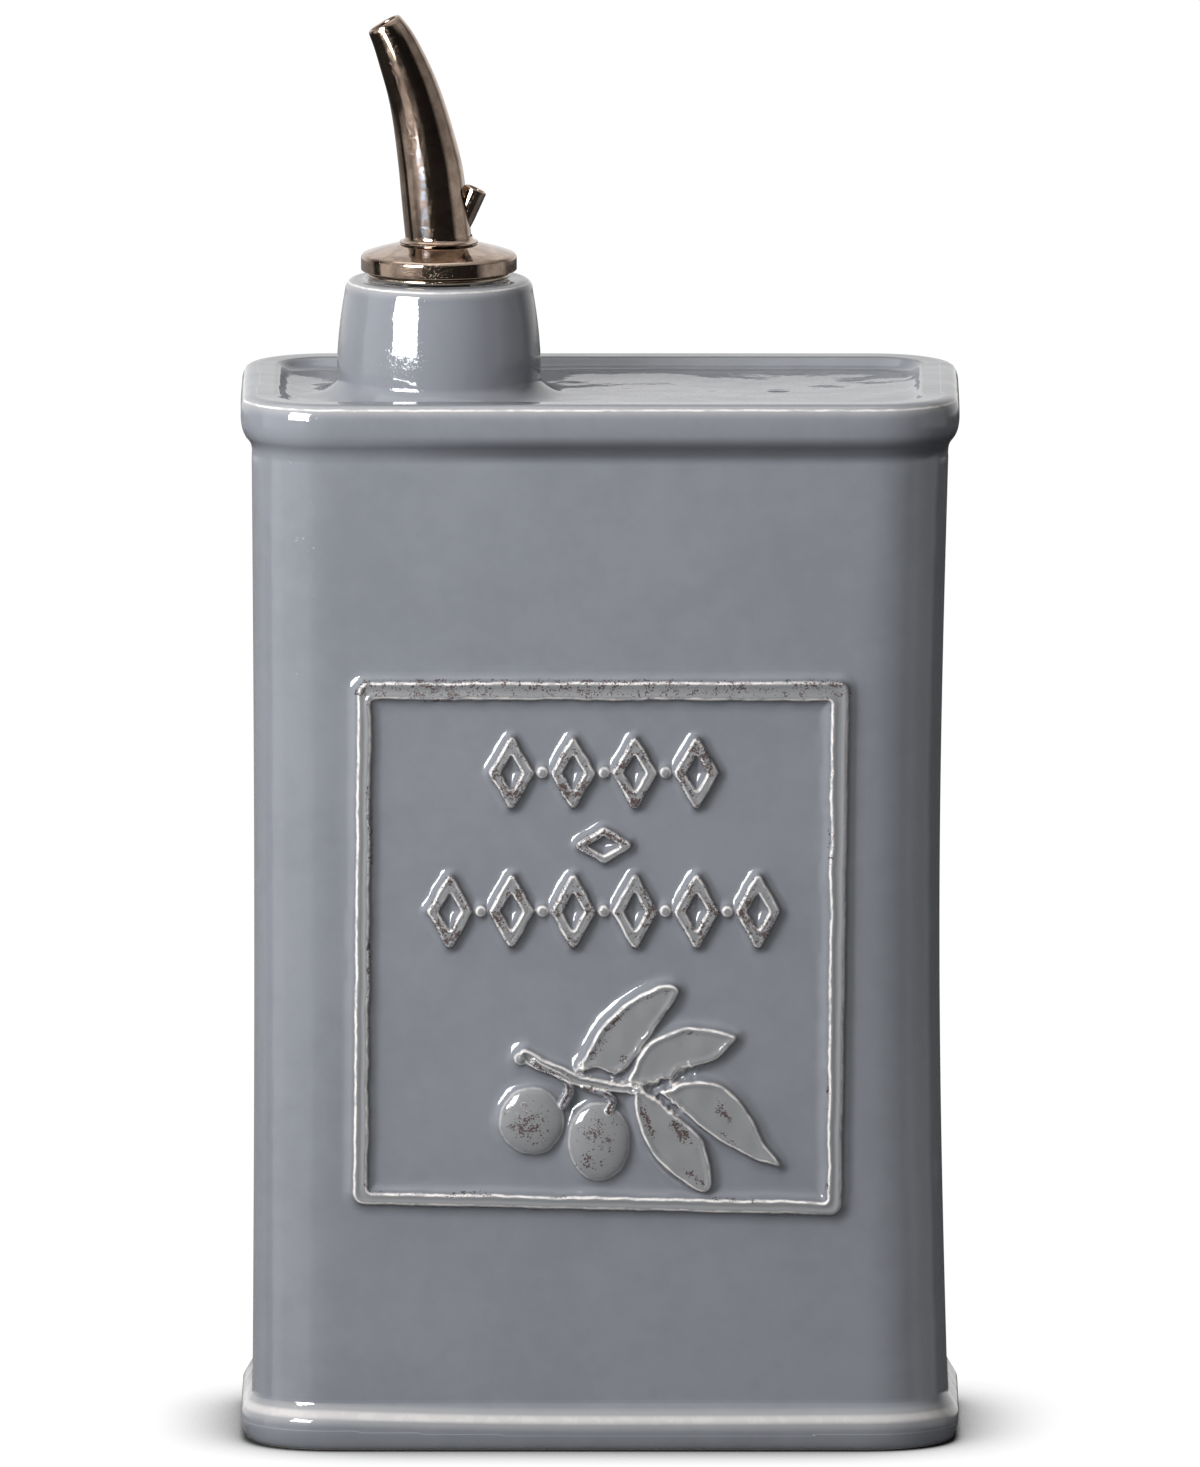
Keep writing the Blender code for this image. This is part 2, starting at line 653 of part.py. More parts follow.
def breather_route():
    """Centre line of the breather tube, from its slanted mouth down into the can."""
    x = NECK_X + BREATHER_X
    bend_z = COLLAR_Z + BREATHER_BEND_RISE
    mouth_x = x + BREATHER_SLANT_RISE * math.tan(BREATHER_SLANT)
    bend = smooth_route(
        [
            (mouth_x, 0.0, bend_z + BREATHER_SLANT_RISE),
            (x + (mouth_x - x) * 0.5, 0.0, bend_z + BREATHER_SLANT_RISE * 0.5),
            (x, 0.0, bend_z),
            (x, 0.0, SPOUT_FOOT_Z),
        ]
    )
    return bend + [Vector((x, 0.0, STEM_BOTTOM_Z - BREATHER_BELOW_STEM))]


def lengthened(points):
    """The same route, run past both of its ends."""
    head = (points[0] - points[1]).normalized() * CUT_OVERRUN
    tail = (points[-1] - points[-2]).normalized() * CUT_OVERRUN
    return [points[0] + head, *points[1:-1], points[-1] + tail]


def build_spout(parts, tools, axis, metal):
    points, radii = spout_route()
    spout = add_object("spout_tube", tube_mesh("spout_tube", points, radii), parts)
    cuts = bpy.data.collections.new("spout_cuts")
    tools.children.link(cuts)
    bore = [radius - SPOUT_WALL for radius in radii]
    add_object("spout_bore", tube_mesh("spout_bore", lengthened(points), bore), cuts)
    vent = breather_route()
    vent_radii = [BREATHER_DIAMETER / 2 + TOUCH_GAP] * len(vent)
    add_object("vent_hole", tube_mesh("vent_hole", lengthened(vent), vent_radii, resolution=3), cuts)
    for item in cuts.objects:
        mark_as_tool(item)
    add_boolean(spout, "cut_bore_and_vent", "DIFFERENCE", cuts)
    shade_round(spout.data)
    finish_piece(spout, metal, axis)


def build_breather(parts, tools, axis, metal):
    points = breather_route()
    radius = BREATHER_DIAMETER / 2
    tube = add_object("breather_tube", tube_mesh("breather_tube", points, [radius] * len(points), resolution=3), parts)
    cuts = bpy.data.collections.new("breather_cuts")
    tools.children.link(cuts)
    bore_radii = [radius - BREATHER_WALL] * len(points)
    add_object("breather_bore", tube_mesh("breather_bore", lengthened(points), bore_radii, resolution=3), cuts)
    for item in cuts.objects:
        mark_as_tool(item)
    add_boolean(tube, "cut_breather_bore", "DIFFERENCE", cuts)
    shade_round(tube.data)
    finish_piece(tube, metal, axis)


def main():
    clear_scene()
    parts = new_collection("olive_oil_can")
    tools = new_collection("cutting_tools")
    axis = add_object("neck_axis", None, parts, (NECK_X, 0.0, NECK_TOP_Z))
    metal = make_material("pourer_metal", (0.44, 0.40, 0.37), 0.22, 1.0)
    build_can(parts, tools)
    build_stopper(parts, axis)
    build_seat_ring(parts, axis)
    build_stem(parts, axis, metal)
    build_flange(parts, axis, metal)
    build_collar(parts, axis, metal)
    build_spout(parts, tools, axis, metal)
    build_breather(parts, tools, axis, metal)


main()
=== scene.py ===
"""A glazed ceramic olive oil can with a framed relief panel and a metal pourer in its neck."""

import logging
import math
from dataclasses import dataclass, field
from enum import Enum
from functools import reduce
from typing import Iterable, Sequence

import bmesh
import bpy
import numpy as np
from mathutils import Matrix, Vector


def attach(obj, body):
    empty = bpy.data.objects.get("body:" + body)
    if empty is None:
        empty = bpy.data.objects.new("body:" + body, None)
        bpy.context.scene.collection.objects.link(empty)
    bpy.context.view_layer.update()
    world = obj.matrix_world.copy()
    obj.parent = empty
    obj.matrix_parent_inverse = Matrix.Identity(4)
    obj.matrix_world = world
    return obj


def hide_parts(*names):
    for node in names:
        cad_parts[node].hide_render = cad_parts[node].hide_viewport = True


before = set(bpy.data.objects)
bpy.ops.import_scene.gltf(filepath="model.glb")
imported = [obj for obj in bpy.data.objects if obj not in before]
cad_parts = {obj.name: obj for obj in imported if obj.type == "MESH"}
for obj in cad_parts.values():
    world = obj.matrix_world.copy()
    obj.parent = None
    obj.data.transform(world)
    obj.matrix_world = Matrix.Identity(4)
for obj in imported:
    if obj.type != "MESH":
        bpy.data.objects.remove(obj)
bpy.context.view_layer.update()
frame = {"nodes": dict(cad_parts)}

MILLIMETRE = 0.001
FAR_GAP = 5.0 * MILLIMETRE
TINY = 1e-6
NO_RISE = 1e-12
SHARP_BEND = math.radians(35.0)
RIPPLE_WAVES = 5
RIPPLE_TURN = 2.4
RIPPLE_SHORTEST = 0.75
RIPPLE_SPREAD = 0.22
RIPPLE_PHASES = (3.1, 1.9)
RIPPLE_CREST = 3.0

log = logging.getLogger("olive_oil_can")

Point = tuple[float, float]
Place = tuple[float, float, float]
Colour = tuple[float, float, float]
Grain = tuple[float, float, float]
Zone = tuple[float, float, float, float]
BMesh = bmesh.types.BMesh
Material = bpy.types.Material
Socket = bpy.types.NodeSocket
Feed = Socket | float | Sequence[float]


class Body(Enum):
    """The moving bodies of the can."""

    CAN = "can"
    STOPPER = "stopper"
    POURER = "pourer"


class Slot(Enum):
    """The material slots."""

    GLAZE = "glaze"
    STOPPER = "stopper"
    RING_METAL = "ring_metal"
    POURER_METAL = "pourer_metal"


# Small tools for lines, rings and turned shapes


def smooth_line(anchors: Sequence[Sequence[float]], steps: int, closed: bool = False) -> np.ndarray:
    """A Catmull-Rom curve through anchors of any dimension.

    Args:
        anchors: The points that the curve passes through.
        steps: How many points each stretch gets.
        closed: Whether the curve runs back to its first anchor.

    Returns:
        The curve's points, one row each.
    """
    points = np.array(anchors, float)
    if closed:
        padded = np.vstack([points[-1:], points, points[:2]])
    else:
        padded = np.vstack([2 * points[0] - points[1], points, 2 * points[-1] - points[-2]])
    line = []
    for before, start, end, after in zip(padded, padded[1:], padded[2:], padded[3:]):
        for t in np.arange(steps) / steps:
            bend = 2 * before - 5 * start + 4 * end - after
            twist = 3 * start - before - 3 * end + after
            line.append((2 * start + (end - before) * t + bend * t**2 + twist * t**3) / 2)
    if not closed:
        line.append(points[-1])
    return np.array(line)


def ripple(points: np.ndarray, length: float, seed: float) -> np.ndarray:
    """A smooth uneven wave between about -1 and 1.

    Args:
        points: The points, as x and z.
        length: The typical wave length.
        seed: Picks another wave.

    Returns:
        The wave at each point.
    """
    total = np.zeros(len(points))
    for number in range(RIPPLE_WAVES):
        angle = seed + RIPPLE_TURN * number
        along = points[:, 0] * math.cos(angle) + points[:, 1] * math.sin(angle)
        wave = length * (RIPPLE_SHORTEST + RIPPLE_SPREAD * number)
        total += np.sin(along * math.tau / wave + seed * RIPPLE_PHASES[0] + number * RIPPLE_PHASES[1])
    return total / RIPPLE_CREST


def ellipse_arc(
    centre: Point, radii: Point, start: float, end: float, steps: int, power: float = 2.0
) -> list[Point]:
    """Points along an arc of an ellipse or a squarer superellipse.

    Args:
        centre: The arc's centre, as radius and height.
        radii: Its two half axes.
        start: The first angle in degrees.
        end: The last angle in degrees.
        steps: How many stretches the arc has.
        power: 2 for an ellipse, more for a squarer one.

    Returns:
        The arc's points.
    """
    points = []
    for angle in np.radians(np.linspace(start, end, steps + 1)):
        along = math.copysign(abs(math.cos(angle)) ** (2 / power), math.cos(angle))
        up = math.copysign(abs(math.sin(angle)) ** (2 / power), math.sin(angle))
        points.append((centre[0] + radii[0] * along, centre[1] + radii[1] * up))
    return points


def smooth_step(value: np.ndarray | float, low: float, high: float) -> np.ndarray:
    """A soft step from 0 at low to 1 at high.

    Args:
        value: What is compared.
        low: Where the step begins.
        high: Where it ends.

    Returns:
        The step's value.
    """
    share = np.clip((np.asarray(value, float) - low) / (high - low), 0.0, 1.0)
    return share * share * (3.0 - 2.0 * share)


class RingStack:
    """A ring of edges that grows row by row through extrusion."""

    def __init__(self, bm: BMesh, column: bmesh.types.BMLayerItem, edges: Iterable) -> None:
        """Numbers the ring's vertices.

        Args:
            bm: The mesh that holds the ring.
            column: The integer layer that keeps each vertex's number.
            edges: The ring's edges.
        """
        self.bm = bm
        self.column = column
        self.edges = list(edges)
        self.first_edges = self.edges
        self.verts: list = []
        vert, edge, members = self.edges[0].verts[0], self.edges[0], set(self.edges)
        while not self.verts or vert != self.verts[0]:
            vert[self.column] = len(self.verts)
            self.verts.append(vert)
            vert = edge.other_vert(vert)
            edge = next(other for other in vert.link_edges if other in members and other != edge)

    def extrude_to(self, places: Sequence[Sequence[float]]) -> None:
        """Adds a row.

        Args:
            places: Where each column's new vertex goes.
        """
        made = bmesh.ops.extrude_edge_only(self.bm, edges=self.edges)["geom"]
        verts = {item for item in made if isinstance(item, bmesh.types.BMVert)}
        for vert in verts:
            vert.co = places[vert[self.column]]
        self.edges = [
            item
            for item in made
            if isinstance(item, bmesh.types.BMEdge) and item.verts[0] in verts and item.verts[1] in verts
        ]

    def cap(self, edges: Iterable | None = None) -> None:
        """Closes a row, the last one unless edges are given, with one flat face."""
        bmesh.ops.contextual_create(self.bm, geom=list(edges or self.edges))

    def join_ends(self) -> None:
        """Joins the last row to the first."""
        bmesh.ops.bridge_loops(self.bm, edges=self.edges + self.first_edges)


@dataclass
class Piece:
    """A finished mesh and how it takes its place in the can."""

    name: str
    body: Body
    slot: Slot
    replaced: tuple[str, ...]

    def finish(
        self, bm: BMesh, material: Material, sharp_angle: float = 40.0
    ) -> bpy.types.Object:
        """Turns a mesh into the piece's object.

        Args:
            bm: The mesh, which is freed.
            material: The finish.
            sharp_angle: The angle in degrees past which an edge stays sharp.

        Returns:
            The object, riding on its body.
        """
        bmesh.ops.recalc_face_normals(bm, faces=bm.faces[:])
        mesh = bpy.data.meshes.new(self.name)
        bm.to_mesh(mesh)
        bm.free()
        mesh.shade_smooth()
        mesh.set_sharp_from_angle(angle=math.radians(sharp_angle))
        mesh.materials.append(material)
        item = bpy.data.objects.new(self.name, mesh)
        bpy.context.scene.collection.objects.link(item)
        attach(item, self.body.value)
        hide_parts(*self.replaced)
        triangles = sum(len(face.vertices) - 2 for face in mesh.polygons)
        log.info("%s: %d triangles on body %s", self.name, triangles, self.body.value)
        return item


def turned_mesh(
    profile: Sequence[Point], axis_x: float, base_z: float, steps: int, edge: float = 0.0
) -> BMesh:
    """A closed profile spun about an upright axis.

    Args:
        profile: The closed profile's points, as radius and height.
        axis_x: Where the axis stands.
        base_z: The height that the profile's heights start from.
        steps: How many steps the full turn has.
        edge: The width of the bevel on its sharp edges.

    Returns:
        The turned mesh.
    """
    bm = bmesh.new()
    verts = [bm.verts.new((axis_x + radius, 0.0, base_z + height)) for radius, height in profile]
    edges = [bm.edges.new(pair) for pair in zip(verts, verts[1:] + verts[:1])]
    bmesh.ops.spin(
        bm,
        geom=verts + edges,
        cent=(axis_x, 0.0, 0.0),
        axis=(0.0, 0.0, 1.0),
        angle=math.tau,
        steps=steps,
        use_merge=True,
    )
    bmesh.ops.recalc_face_normals(bm, faces=bm.faces[:])
    if edge:
        sharp = [item for item in bm.edges if item.is_manifold and item.calc_face_angle() > SHARP_BEND]
        bmesh.ops.bevel(
            bm,
            geom=sharp,
            offset=edge,
            segments=3,
            profile=0.5,
            affect="EDGES",
            material=-1,
            clamp_overlap=True,
        )
    return bm


def swept_tube(line: np.ndarray, outer: np.ndarray, wall: float, segments: int) -> BMesh:
    """A tube with a wall, swept along a line in the upright plane through the neck.

    Args:
        line: The centre line's points, as x and z.
        outer: The outer radius at each point.
        wall: The wall's thickness.
        segments: How many sides the tube has.

    Returns:
        The tube's mesh, with rounded rims at both ends.
    """
    tangents = np.gradient(line, axis=0)
    tangents /= np.linalg.norm(tangents, axis=1)[:, None]
    bm = bmesh.new()
    column = bm.verts.layers.int.new("column")
    bmesh.ops.create_circle(bm, cap_ends=False, segments=segments, radius=1.0)
    stack = RingStack(bm, column, bm.edges[:])
    unit = [vert.co.copy() for vert in stack.verts]

    def places(index: int, radius: float, onward: float = 0.0) -> list[Vector]:
        """The ring at a point of the line, with a radius and a shift along the line.

        Args:
            index: Which point of the line.
            radius: The ring's radius.
            onward: How far it is shifted along the line.

        Returns:
            The places of its vertices.
        """
        along = Vector((tangents[index][0], 0.0, tangents[index][1]))
        aside = Vector((along.z, 0.0, -along.x))
        centre = Vector((line[index][0], 0.0, line[index][1])) + along * onward
        return [centre + (aside * co.x + Vector((0.0, co.y, 0.0))) * radius for co in unit]

    last = len(line) - 1
    half = wall / 2
    chamfer = half * 0.3
    for vert, place in zip(stack.verts, places(0, outer[0] - chamfer, chamfer)):
        vert.co = place
    for index in range(1, last):
        stack.extrude_to(places(index, outer[index]))
    for angle in np.radians(np.linspace(-90.0, 90.0, 7)):
        radius = outer[last] - half - half * math.sin(angle)
        stack.extrude_to(places(last, radius, half * (math.cos(angle) - 1.0)))
    for index in range(last - 1, 0, -1):
        stack.extrude_to(places(index, outer[index] - wall))
    stack.extrude_to(places(0, outer[0] - wall + chamfer, chamfer))
    stack.extrude_to(places(0, outer[0] - half))
    stack.join_ends()
    return bm


# Relief on the front panel


def outline_gap(points: np.ndarray, outline: np.ndarray) -> np.ndarray:
    """The signed distance of points to a closed outline, below zero inside it.

    Args:
        points: The points, one row each.
        outline: The outline's corners in order.

    Returns:
        One distance for each point.
    """
    ends = np.roll(outline, -1, axis=0)
    span = ends - outline
    offset = points[:, None, :] - outline[None, :, :]
    share = np.clip((offset * span).sum(2) / (span**2).sum(1), 0.0, 1.0)
    distance = np.linalg.norm(offset - share[:, :, None] * span[None], axis=2).min(1)
    above = outline[None, :, 1] > points[:, None, 1]
    ends_above = ends[None, :, 1] > points[:, None, 1]
    rise = np.where(np.abs(span[:, 1]) < NO_RISE, NO_RISE, span[:, 1])
    crossing = outline[:, 0] + (points[:, None, 1] - outline[:, 1]) * span[:, 0] / rise
    inside = ((above != ends_above) & (points[:, None, 0] < crossing)).sum(1) % 2 == 1
    return np.where(inside, -distance, distance)


def stroke_gap(points: np.ndarray, line: np.ndarray, radii: np.ndarray) -> np.ndarray:
    """The signed distance of points to a tapered stroke, below zero inside it.

    Args:
        points: The points, one row each.
        line: The stroke's centre line.
        radii: Its half width at each point of the line.

    Returns:
        One distance for each point.
    """
    span = line[1:] - line[:-1]
    offset = points[:, None, :] - line[None, :-1, :]
    share = np.clip((offset * span).sum(2) / (span**2).sum(1), 0.0, 1.0)
    distance = np.linalg.norm(offset - share[:, :, None] * span[None], axis=2)
    radius = radii[None, :-1] + share * (radii[None, 1:] - radii[None, :-1])
    return (distance - radius).min(1)


@dataclass(frozen=True)
class GlazedEdge:
    """The slope that thick glaze leaves round a raised shape."""

    fillet: float = 0.0026
    shoulder: float = 0.00045
    power: float = 6.0
    mix_share: float = 0.6
    dish: float = 0.00022
    dish_run: float = 0.0010

    def height(self, gap: np.ndarray, rise: float) -> np.ndarray:
        """The height of a flat-topped shape.

        Args:
            gap: Signed distances to its outline.
            rise: Its full height.

        Returns:
            The height at each point.
        """
        steep = 2 * self.mix_share + self.power * (1 - self.mix_share)
        top_share = steep * self.shoulder / (2 * self.fillet + steep * self.shoulder)
        nearness = np.clip(1 - np.maximum(gap, 0.0) / self.fillet, 0.0, 1.0)
        slope = self.mix_share * nearness**2 + (1 - self.mix_share) * nearness**self.power
        outside = (1 - top_share) * slope
        inward = np.clip(-gap / self.shoulder, 0.0, 1.0)
        shape = np.where(gap > 0.0, outside, 1 - top_share + top_share * (2 * inward - inward**2))
        dish = self.dish * smooth_step(-gap, self.shoulder, self.shoulder + self.dish_run)
        return rise * shape - dish


class PanelMap:
    """What the relief does at each point of the front panel."""

    BLEND_POWER = 5.0

    def __init__(self, points: np.ndarray) -> None:
        """Starts with a bare panel.

        Args:
            points: The points, as x and z.
        """
        self.points = points
        count = len(points)
        self.raised = np.zeros(count)
        self.gap = np.full(count, FAR_GAP)
        self.crest = np.zeros(count)
        self.stalk_gap = np.full(count, FAR_GAP)
        self.stain = np.zeros(count)
        self.rough = np.zeros(count)

    def near(self, centre: Point, reach: float) -> np.ndarray:
        """Which points lie within reach of a centre."""
        return np.nonzero((np.abs(self.points - np.array(centre)) < reach).all(1))[0]

    def raise_shape(self, where: np.ndarray, gap: np.ndarray, height: np.ndarray, crest: float = 1.0) -> None:
        """Blends a shape into the panel.

        Args:
            where: The points that it may touch.
            gap: Their signed distances to its outline.
            height: Its height there.
            crest: How pale its outline is.
        """
        self.crest[where[gap < self.gap[where]]] = crest
        power = self.BLEND_POWER
        self.raised[where] = (self.raised[where] ** power + np.maximum(height, 0.0) ** power) ** (1 / power)
        self.gap[where] = np.minimum(self.gap[where], gap)

    def add_stain(self, x: float, z: float, long: float, short: float, turn: float, strength: float) -> None:
        """Adds a soft patch of iron specks.

        Args:
            x: The patch's middle.
            z: Its height.
            long: Its half length.
            short: Its half width.
            turn: Its direction in degrees.
            strength: How dense it is.
        """
        angle = math.radians(turn)
        offset = self.points - np.array((x, z))
        along = offset[:, 0] * math.cos(angle) + offset[:, 1] * math.sin(angle)
        across = offset[:, 1] * math.cos(angle) - offset[:, 0] * math.sin(angle)
        patch = strength * np.exp(-((along / long) ** 2) - (across / short) ** 2)
        self.stain = np.maximum(self.stain, patch)


@dataclass(frozen=True)
class PanelFrame:
    """The raised frame: two hand-drawn quadrilaterals with rounded corners."""

    outer_left: Point = (-0.0473, -0.04635)
    outer_right: Point = (0.0462, 0.0476)
    outer_bottom: Point = (0.0480, 0.0458)
    outer_top: Point = (0.1489, 0.1490)
    inner_left: Point = (-0.0446, -0.0439)
    inner_right: Point = (0.0435, 0.0443)
    inner_bottom: Point = (0.0503, 0.0483)
    inner_top: Point = (0.1456, 0.1454)
    outer_radius: float = 0.0021
    inner_radius: float = 0.0009
    rise: float = 0.0018
    wobble: float = 0.00016
    wave_length: float = 0.011
    fine_wave_length: float = 0.0035
    fine_share: float = 0.4
    # How much the pale outer line dims on the right: painted shade.
    right_painted_shade: float = 0.55
    stain_length: float = 0.016
    top_stain: float = 0.85
    side_stain: float = 0.8
    edge: GlazedEdge = GlazedEdge()

    def side_gap(
        self, points: np.ndarray, sides: tuple[Point, Point, Point, Point], radius: float
    ) -> np.ndarray:
        """The signed distance to a rounded quadrilateral.

        Args:
            points: The points, as x and z.
            sides: Left and right side as x at bottom and top, bottom and top side as z at left and right.
            radius: The corner radius.

        Returns:
            One distance for each point.
        """
        x, z = points[:, 0], points[:, 1]
        left, right, bottom, top = sides
        up = (z - self.outer_bottom[0]) / (self.outer_top[0] - self.outer_bottom[0])
        over = (x - self.outer_left[0]) / (self.outer_right[0] - self.outer_left[0])
        past_left = left[0] + (left[1] - left[0]) * up - x
        past_right = x - right[0] - (right[1] - right[0]) * up
        below = bottom[0] + (bottom[1] - bottom[0]) * over - z
        above = z - top[0] - (top[1] - top[0]) * over
        across = np.maximum(past_left, past_right) + radius
        upright = np.maximum(below, above) + radius
        corner = np.hypot(np.maximum(across, 0.0), np.maximum(upright, 0.0))
        return corner + np.minimum(np.maximum(across, upright), 0.0) - radius

    def press(self, panel: PanelMap) -> None:
        """Raises the frame on the panel.

        Args:
            panel: The panel's map.
        """
        x, z = panel.points[:, 0], panel.points[:, 1]
        wave = ripple(panel.points, self.wave_length, 0.7)
        wave = wave + self.fine_share * ripple(panel.points, self.fine_wave_length, 2.1)
        outer = (self.outer_left, self.outer_right, self.outer_bottom, self.outer_top)
        inner = (self.inner_left, self.inner_right, self.inner_bottom, self.inner_top)
        outer_gap = self.side_gap(panel.points, outer, self.outer_radius) + self.wobble * 0.5 * wave
        inner_gap = self.side_gap(panel.points, inner, self.inner_radius) + self.wobble * wave
        gap = np.maximum(outer_gap, -inner_gap)
        where = np.nonzero(gap < FAR_GAP)[0]
        panel.raise_shape(where, gap[where], self.edge.height(gap[where], self.rise))
        # Painted shade: the pale line on the frame's outer edge dims towards the right, the side turned away
        # from the lamps.
        right_outer = smooth_step(x, 0.030, 0.044) * (outer_gap > -inner_gap)
        panel.crest = np.where(gap < FAR_GAP, 1.0 - self.right_painted_shade * right_outer, 0.0)
        patchy = np.clip(0.35 + 0.65 * ripple(panel.points, self.stain_length, 4.0), 0.0, 1.0)
        top_bar = smooth_step(z, self.inner_top[0], self.inner_top[0] + self.inner_radius)
        top_bar = self.top_stain * top_bar * (0.6 + 0.4 * patchy)
        side_bars = self.side_stain * smooth_step(np.abs(inner_gap), 0.0011, 0.0002) * patchy
        density = np.where(gap < 0.0005, np.maximum(top_bar, side_bars), 0.0)
        panel.stain = np.maximum(panel.stain, density)


class Motif(Enum):
    """The two shapes of the ornament rows."""

    LOZENGE = "lozenge"
    DOT = "dot"


@dataclass(frozen=True)
class OrnamentRow:
    """A row of open lozenges with a dot in each gap."""

    z: float
    count: int
    width: float
    height: float
    middle: float = 0.00075
    pitch: float = 0.0118
    band: float = 0.0018
    rise: float = 0.0019
    corner: float = 0.0008
    hole_corner: float = 0.0003
    dot_radius: float = 0.0011
    dot_rise: float = 0.0015
    dot_dome: float = 0.3
    reach: float = 0.0040
    wave_length: float = 0.0042
    outer_wave: float = 0.00010
    hole_wave: float = 0.00008
    dot_wave: float = 0.00006
    stain_length: float = 0.009
    edge: GlazedEdge = GlazedEdge(fillet=0.0019, shoulder=0.0004, dish=0.00012, dish_run=0.0006)

    def lozenge_gap(
        self, offset: np.ndarray, half_width: float, half_height: float, corner: float
    ) -> np.ndarray:
        """The signed distance to a lozenge with rounded corners.

        Args:
            offset: The points from its middle.
            half_width: Its half width.
            half_height: Its half height.
            corner: The corners' radius.

        Returns:
            One distance for each point.
        """
        wide, high = half_width - corner, half_height - corner
        core = np.array([(wide, 0.0), (0.0, high), (-wide, 0.0), (0.0, -high)])
        return outline_gap(offset, core) - corner

    def places(self) -> list[tuple[Motif, float]]:
        """Each motif of the row with its x.

        Returns:
            The lozenges and then the dots.
        """
        first = self.middle - self.pitch * (self.count - 1) / 2
        lozenges = [(Motif.LOZENGE, first + self.pitch * number) for number in range(self.count)]
        dots = [(Motif.DOT, first + self.pitch * (number + 0.5)) for number in range(self.count - 1)]
        return lozenges + dots

    def press(self, panel: PanelMap) -> None:
        """Raises the row on the panel.

        Args:
            panel: The panel's map.
        """
        for motif, x in self.places():
            where = panel.near((x, self.z), self.height / 2 + self.reach)
            wave = ripple(panel.points[where], self.wave_length, self.z * 90.0 + x * 40.0)
            offset = panel.points[where] - np.array((x, self.z))
            if motif is Motif.DOT:
                self._press_dot(panel, where, offset, wave)
                continue
            outer = self.lozenge_gap(offset, self.width / 2, self.height / 2, self.corner)
            slant = math.hypot(self.width, self.height)
            hole_width = self.width / 2 - self.band * slant / self.height
            hole_height = self.height / 2 - self.band * slant / self.width
            hole = self.lozenge_gap(offset, hole_width, hole_height, self.hole_corner)
            gap = np.maximum(outer + self.outer_wave * wave, self.hole_wave * wave - hole)
            panel.raise_shape(where, gap, self.edge.height(gap, self.rise))
            lean = 0.55 + 0.45 * ripple(offset, self.stain_length, x * 300.0 + self.z * 70.0)
            stain = np.where(gap < 0.0001, 0.30 + 0.65 * np.clip(lean, 0.0, 1.0), 0.0)
            panel.stain[where] = np.maximum(panel.stain[where], stain)

    def _press_dot(self, panel: PanelMap, where: np.ndarray, offset: np.ndarray, wave: np.ndarray) -> None:
        """Raises one domed dot.

        Args:
            panel: The panel's map.
            where: The points that it may touch.
            offset: Those points from its middle.
            wave: The unevenness of its edge there.
        """
        gap = np.linalg.norm(offset, axis=1) - self.dot_radius + self.dot_wave * wave
        depth = np.maximum(-gap, 0.0) / self.dot_radius
        dome = np.sqrt(np.clip(1.0 - (depth - 1.0) ** 2, 0.0, 1.0)) * (gap < 0.0)
        base = self.edge.height(gap, self.dot_rise * (1.0 - self.dot_dome))
        panel.raise_shape(where, gap, base + self.dot_rise * self.dot_dome * dome)


@dataclass(frozen=True)
class Leaf:
    """One leaf of the sprig, as the marks in millimetres that its edge passes through."""

    marks: tuple[Point, ...]

    def outline(self) -> np.ndarray:
        """The leaf's closed outline on the panel."""
        return smooth_line(self.marks, 4, closed=True) * MILLIMETRE


@dataclass(frozen=True)
class Olive:
    """One olive of the sprig, or another small dome."""

    centre: Point
    width: float
    height: float
    rise: float = 0.00215
    crest: float = 0.35


@dataclass(frozen=True)
class Stroke:
    """A grooved ridge with round ends: its line in millimetres, and its half width at both ends."""

    marks: tuple[Point, ...]
    radii: Point
    rise: float
    groove: float

    def gap(self, points: np.ndarray) -> np.ndarray:
        """The signed distance of points to the stroke."""
        line = smooth_line(self.marks, 5) * MILLIMETRE
        return stroke_gap(points, line, np.linspace(*self.radii, len(line)))


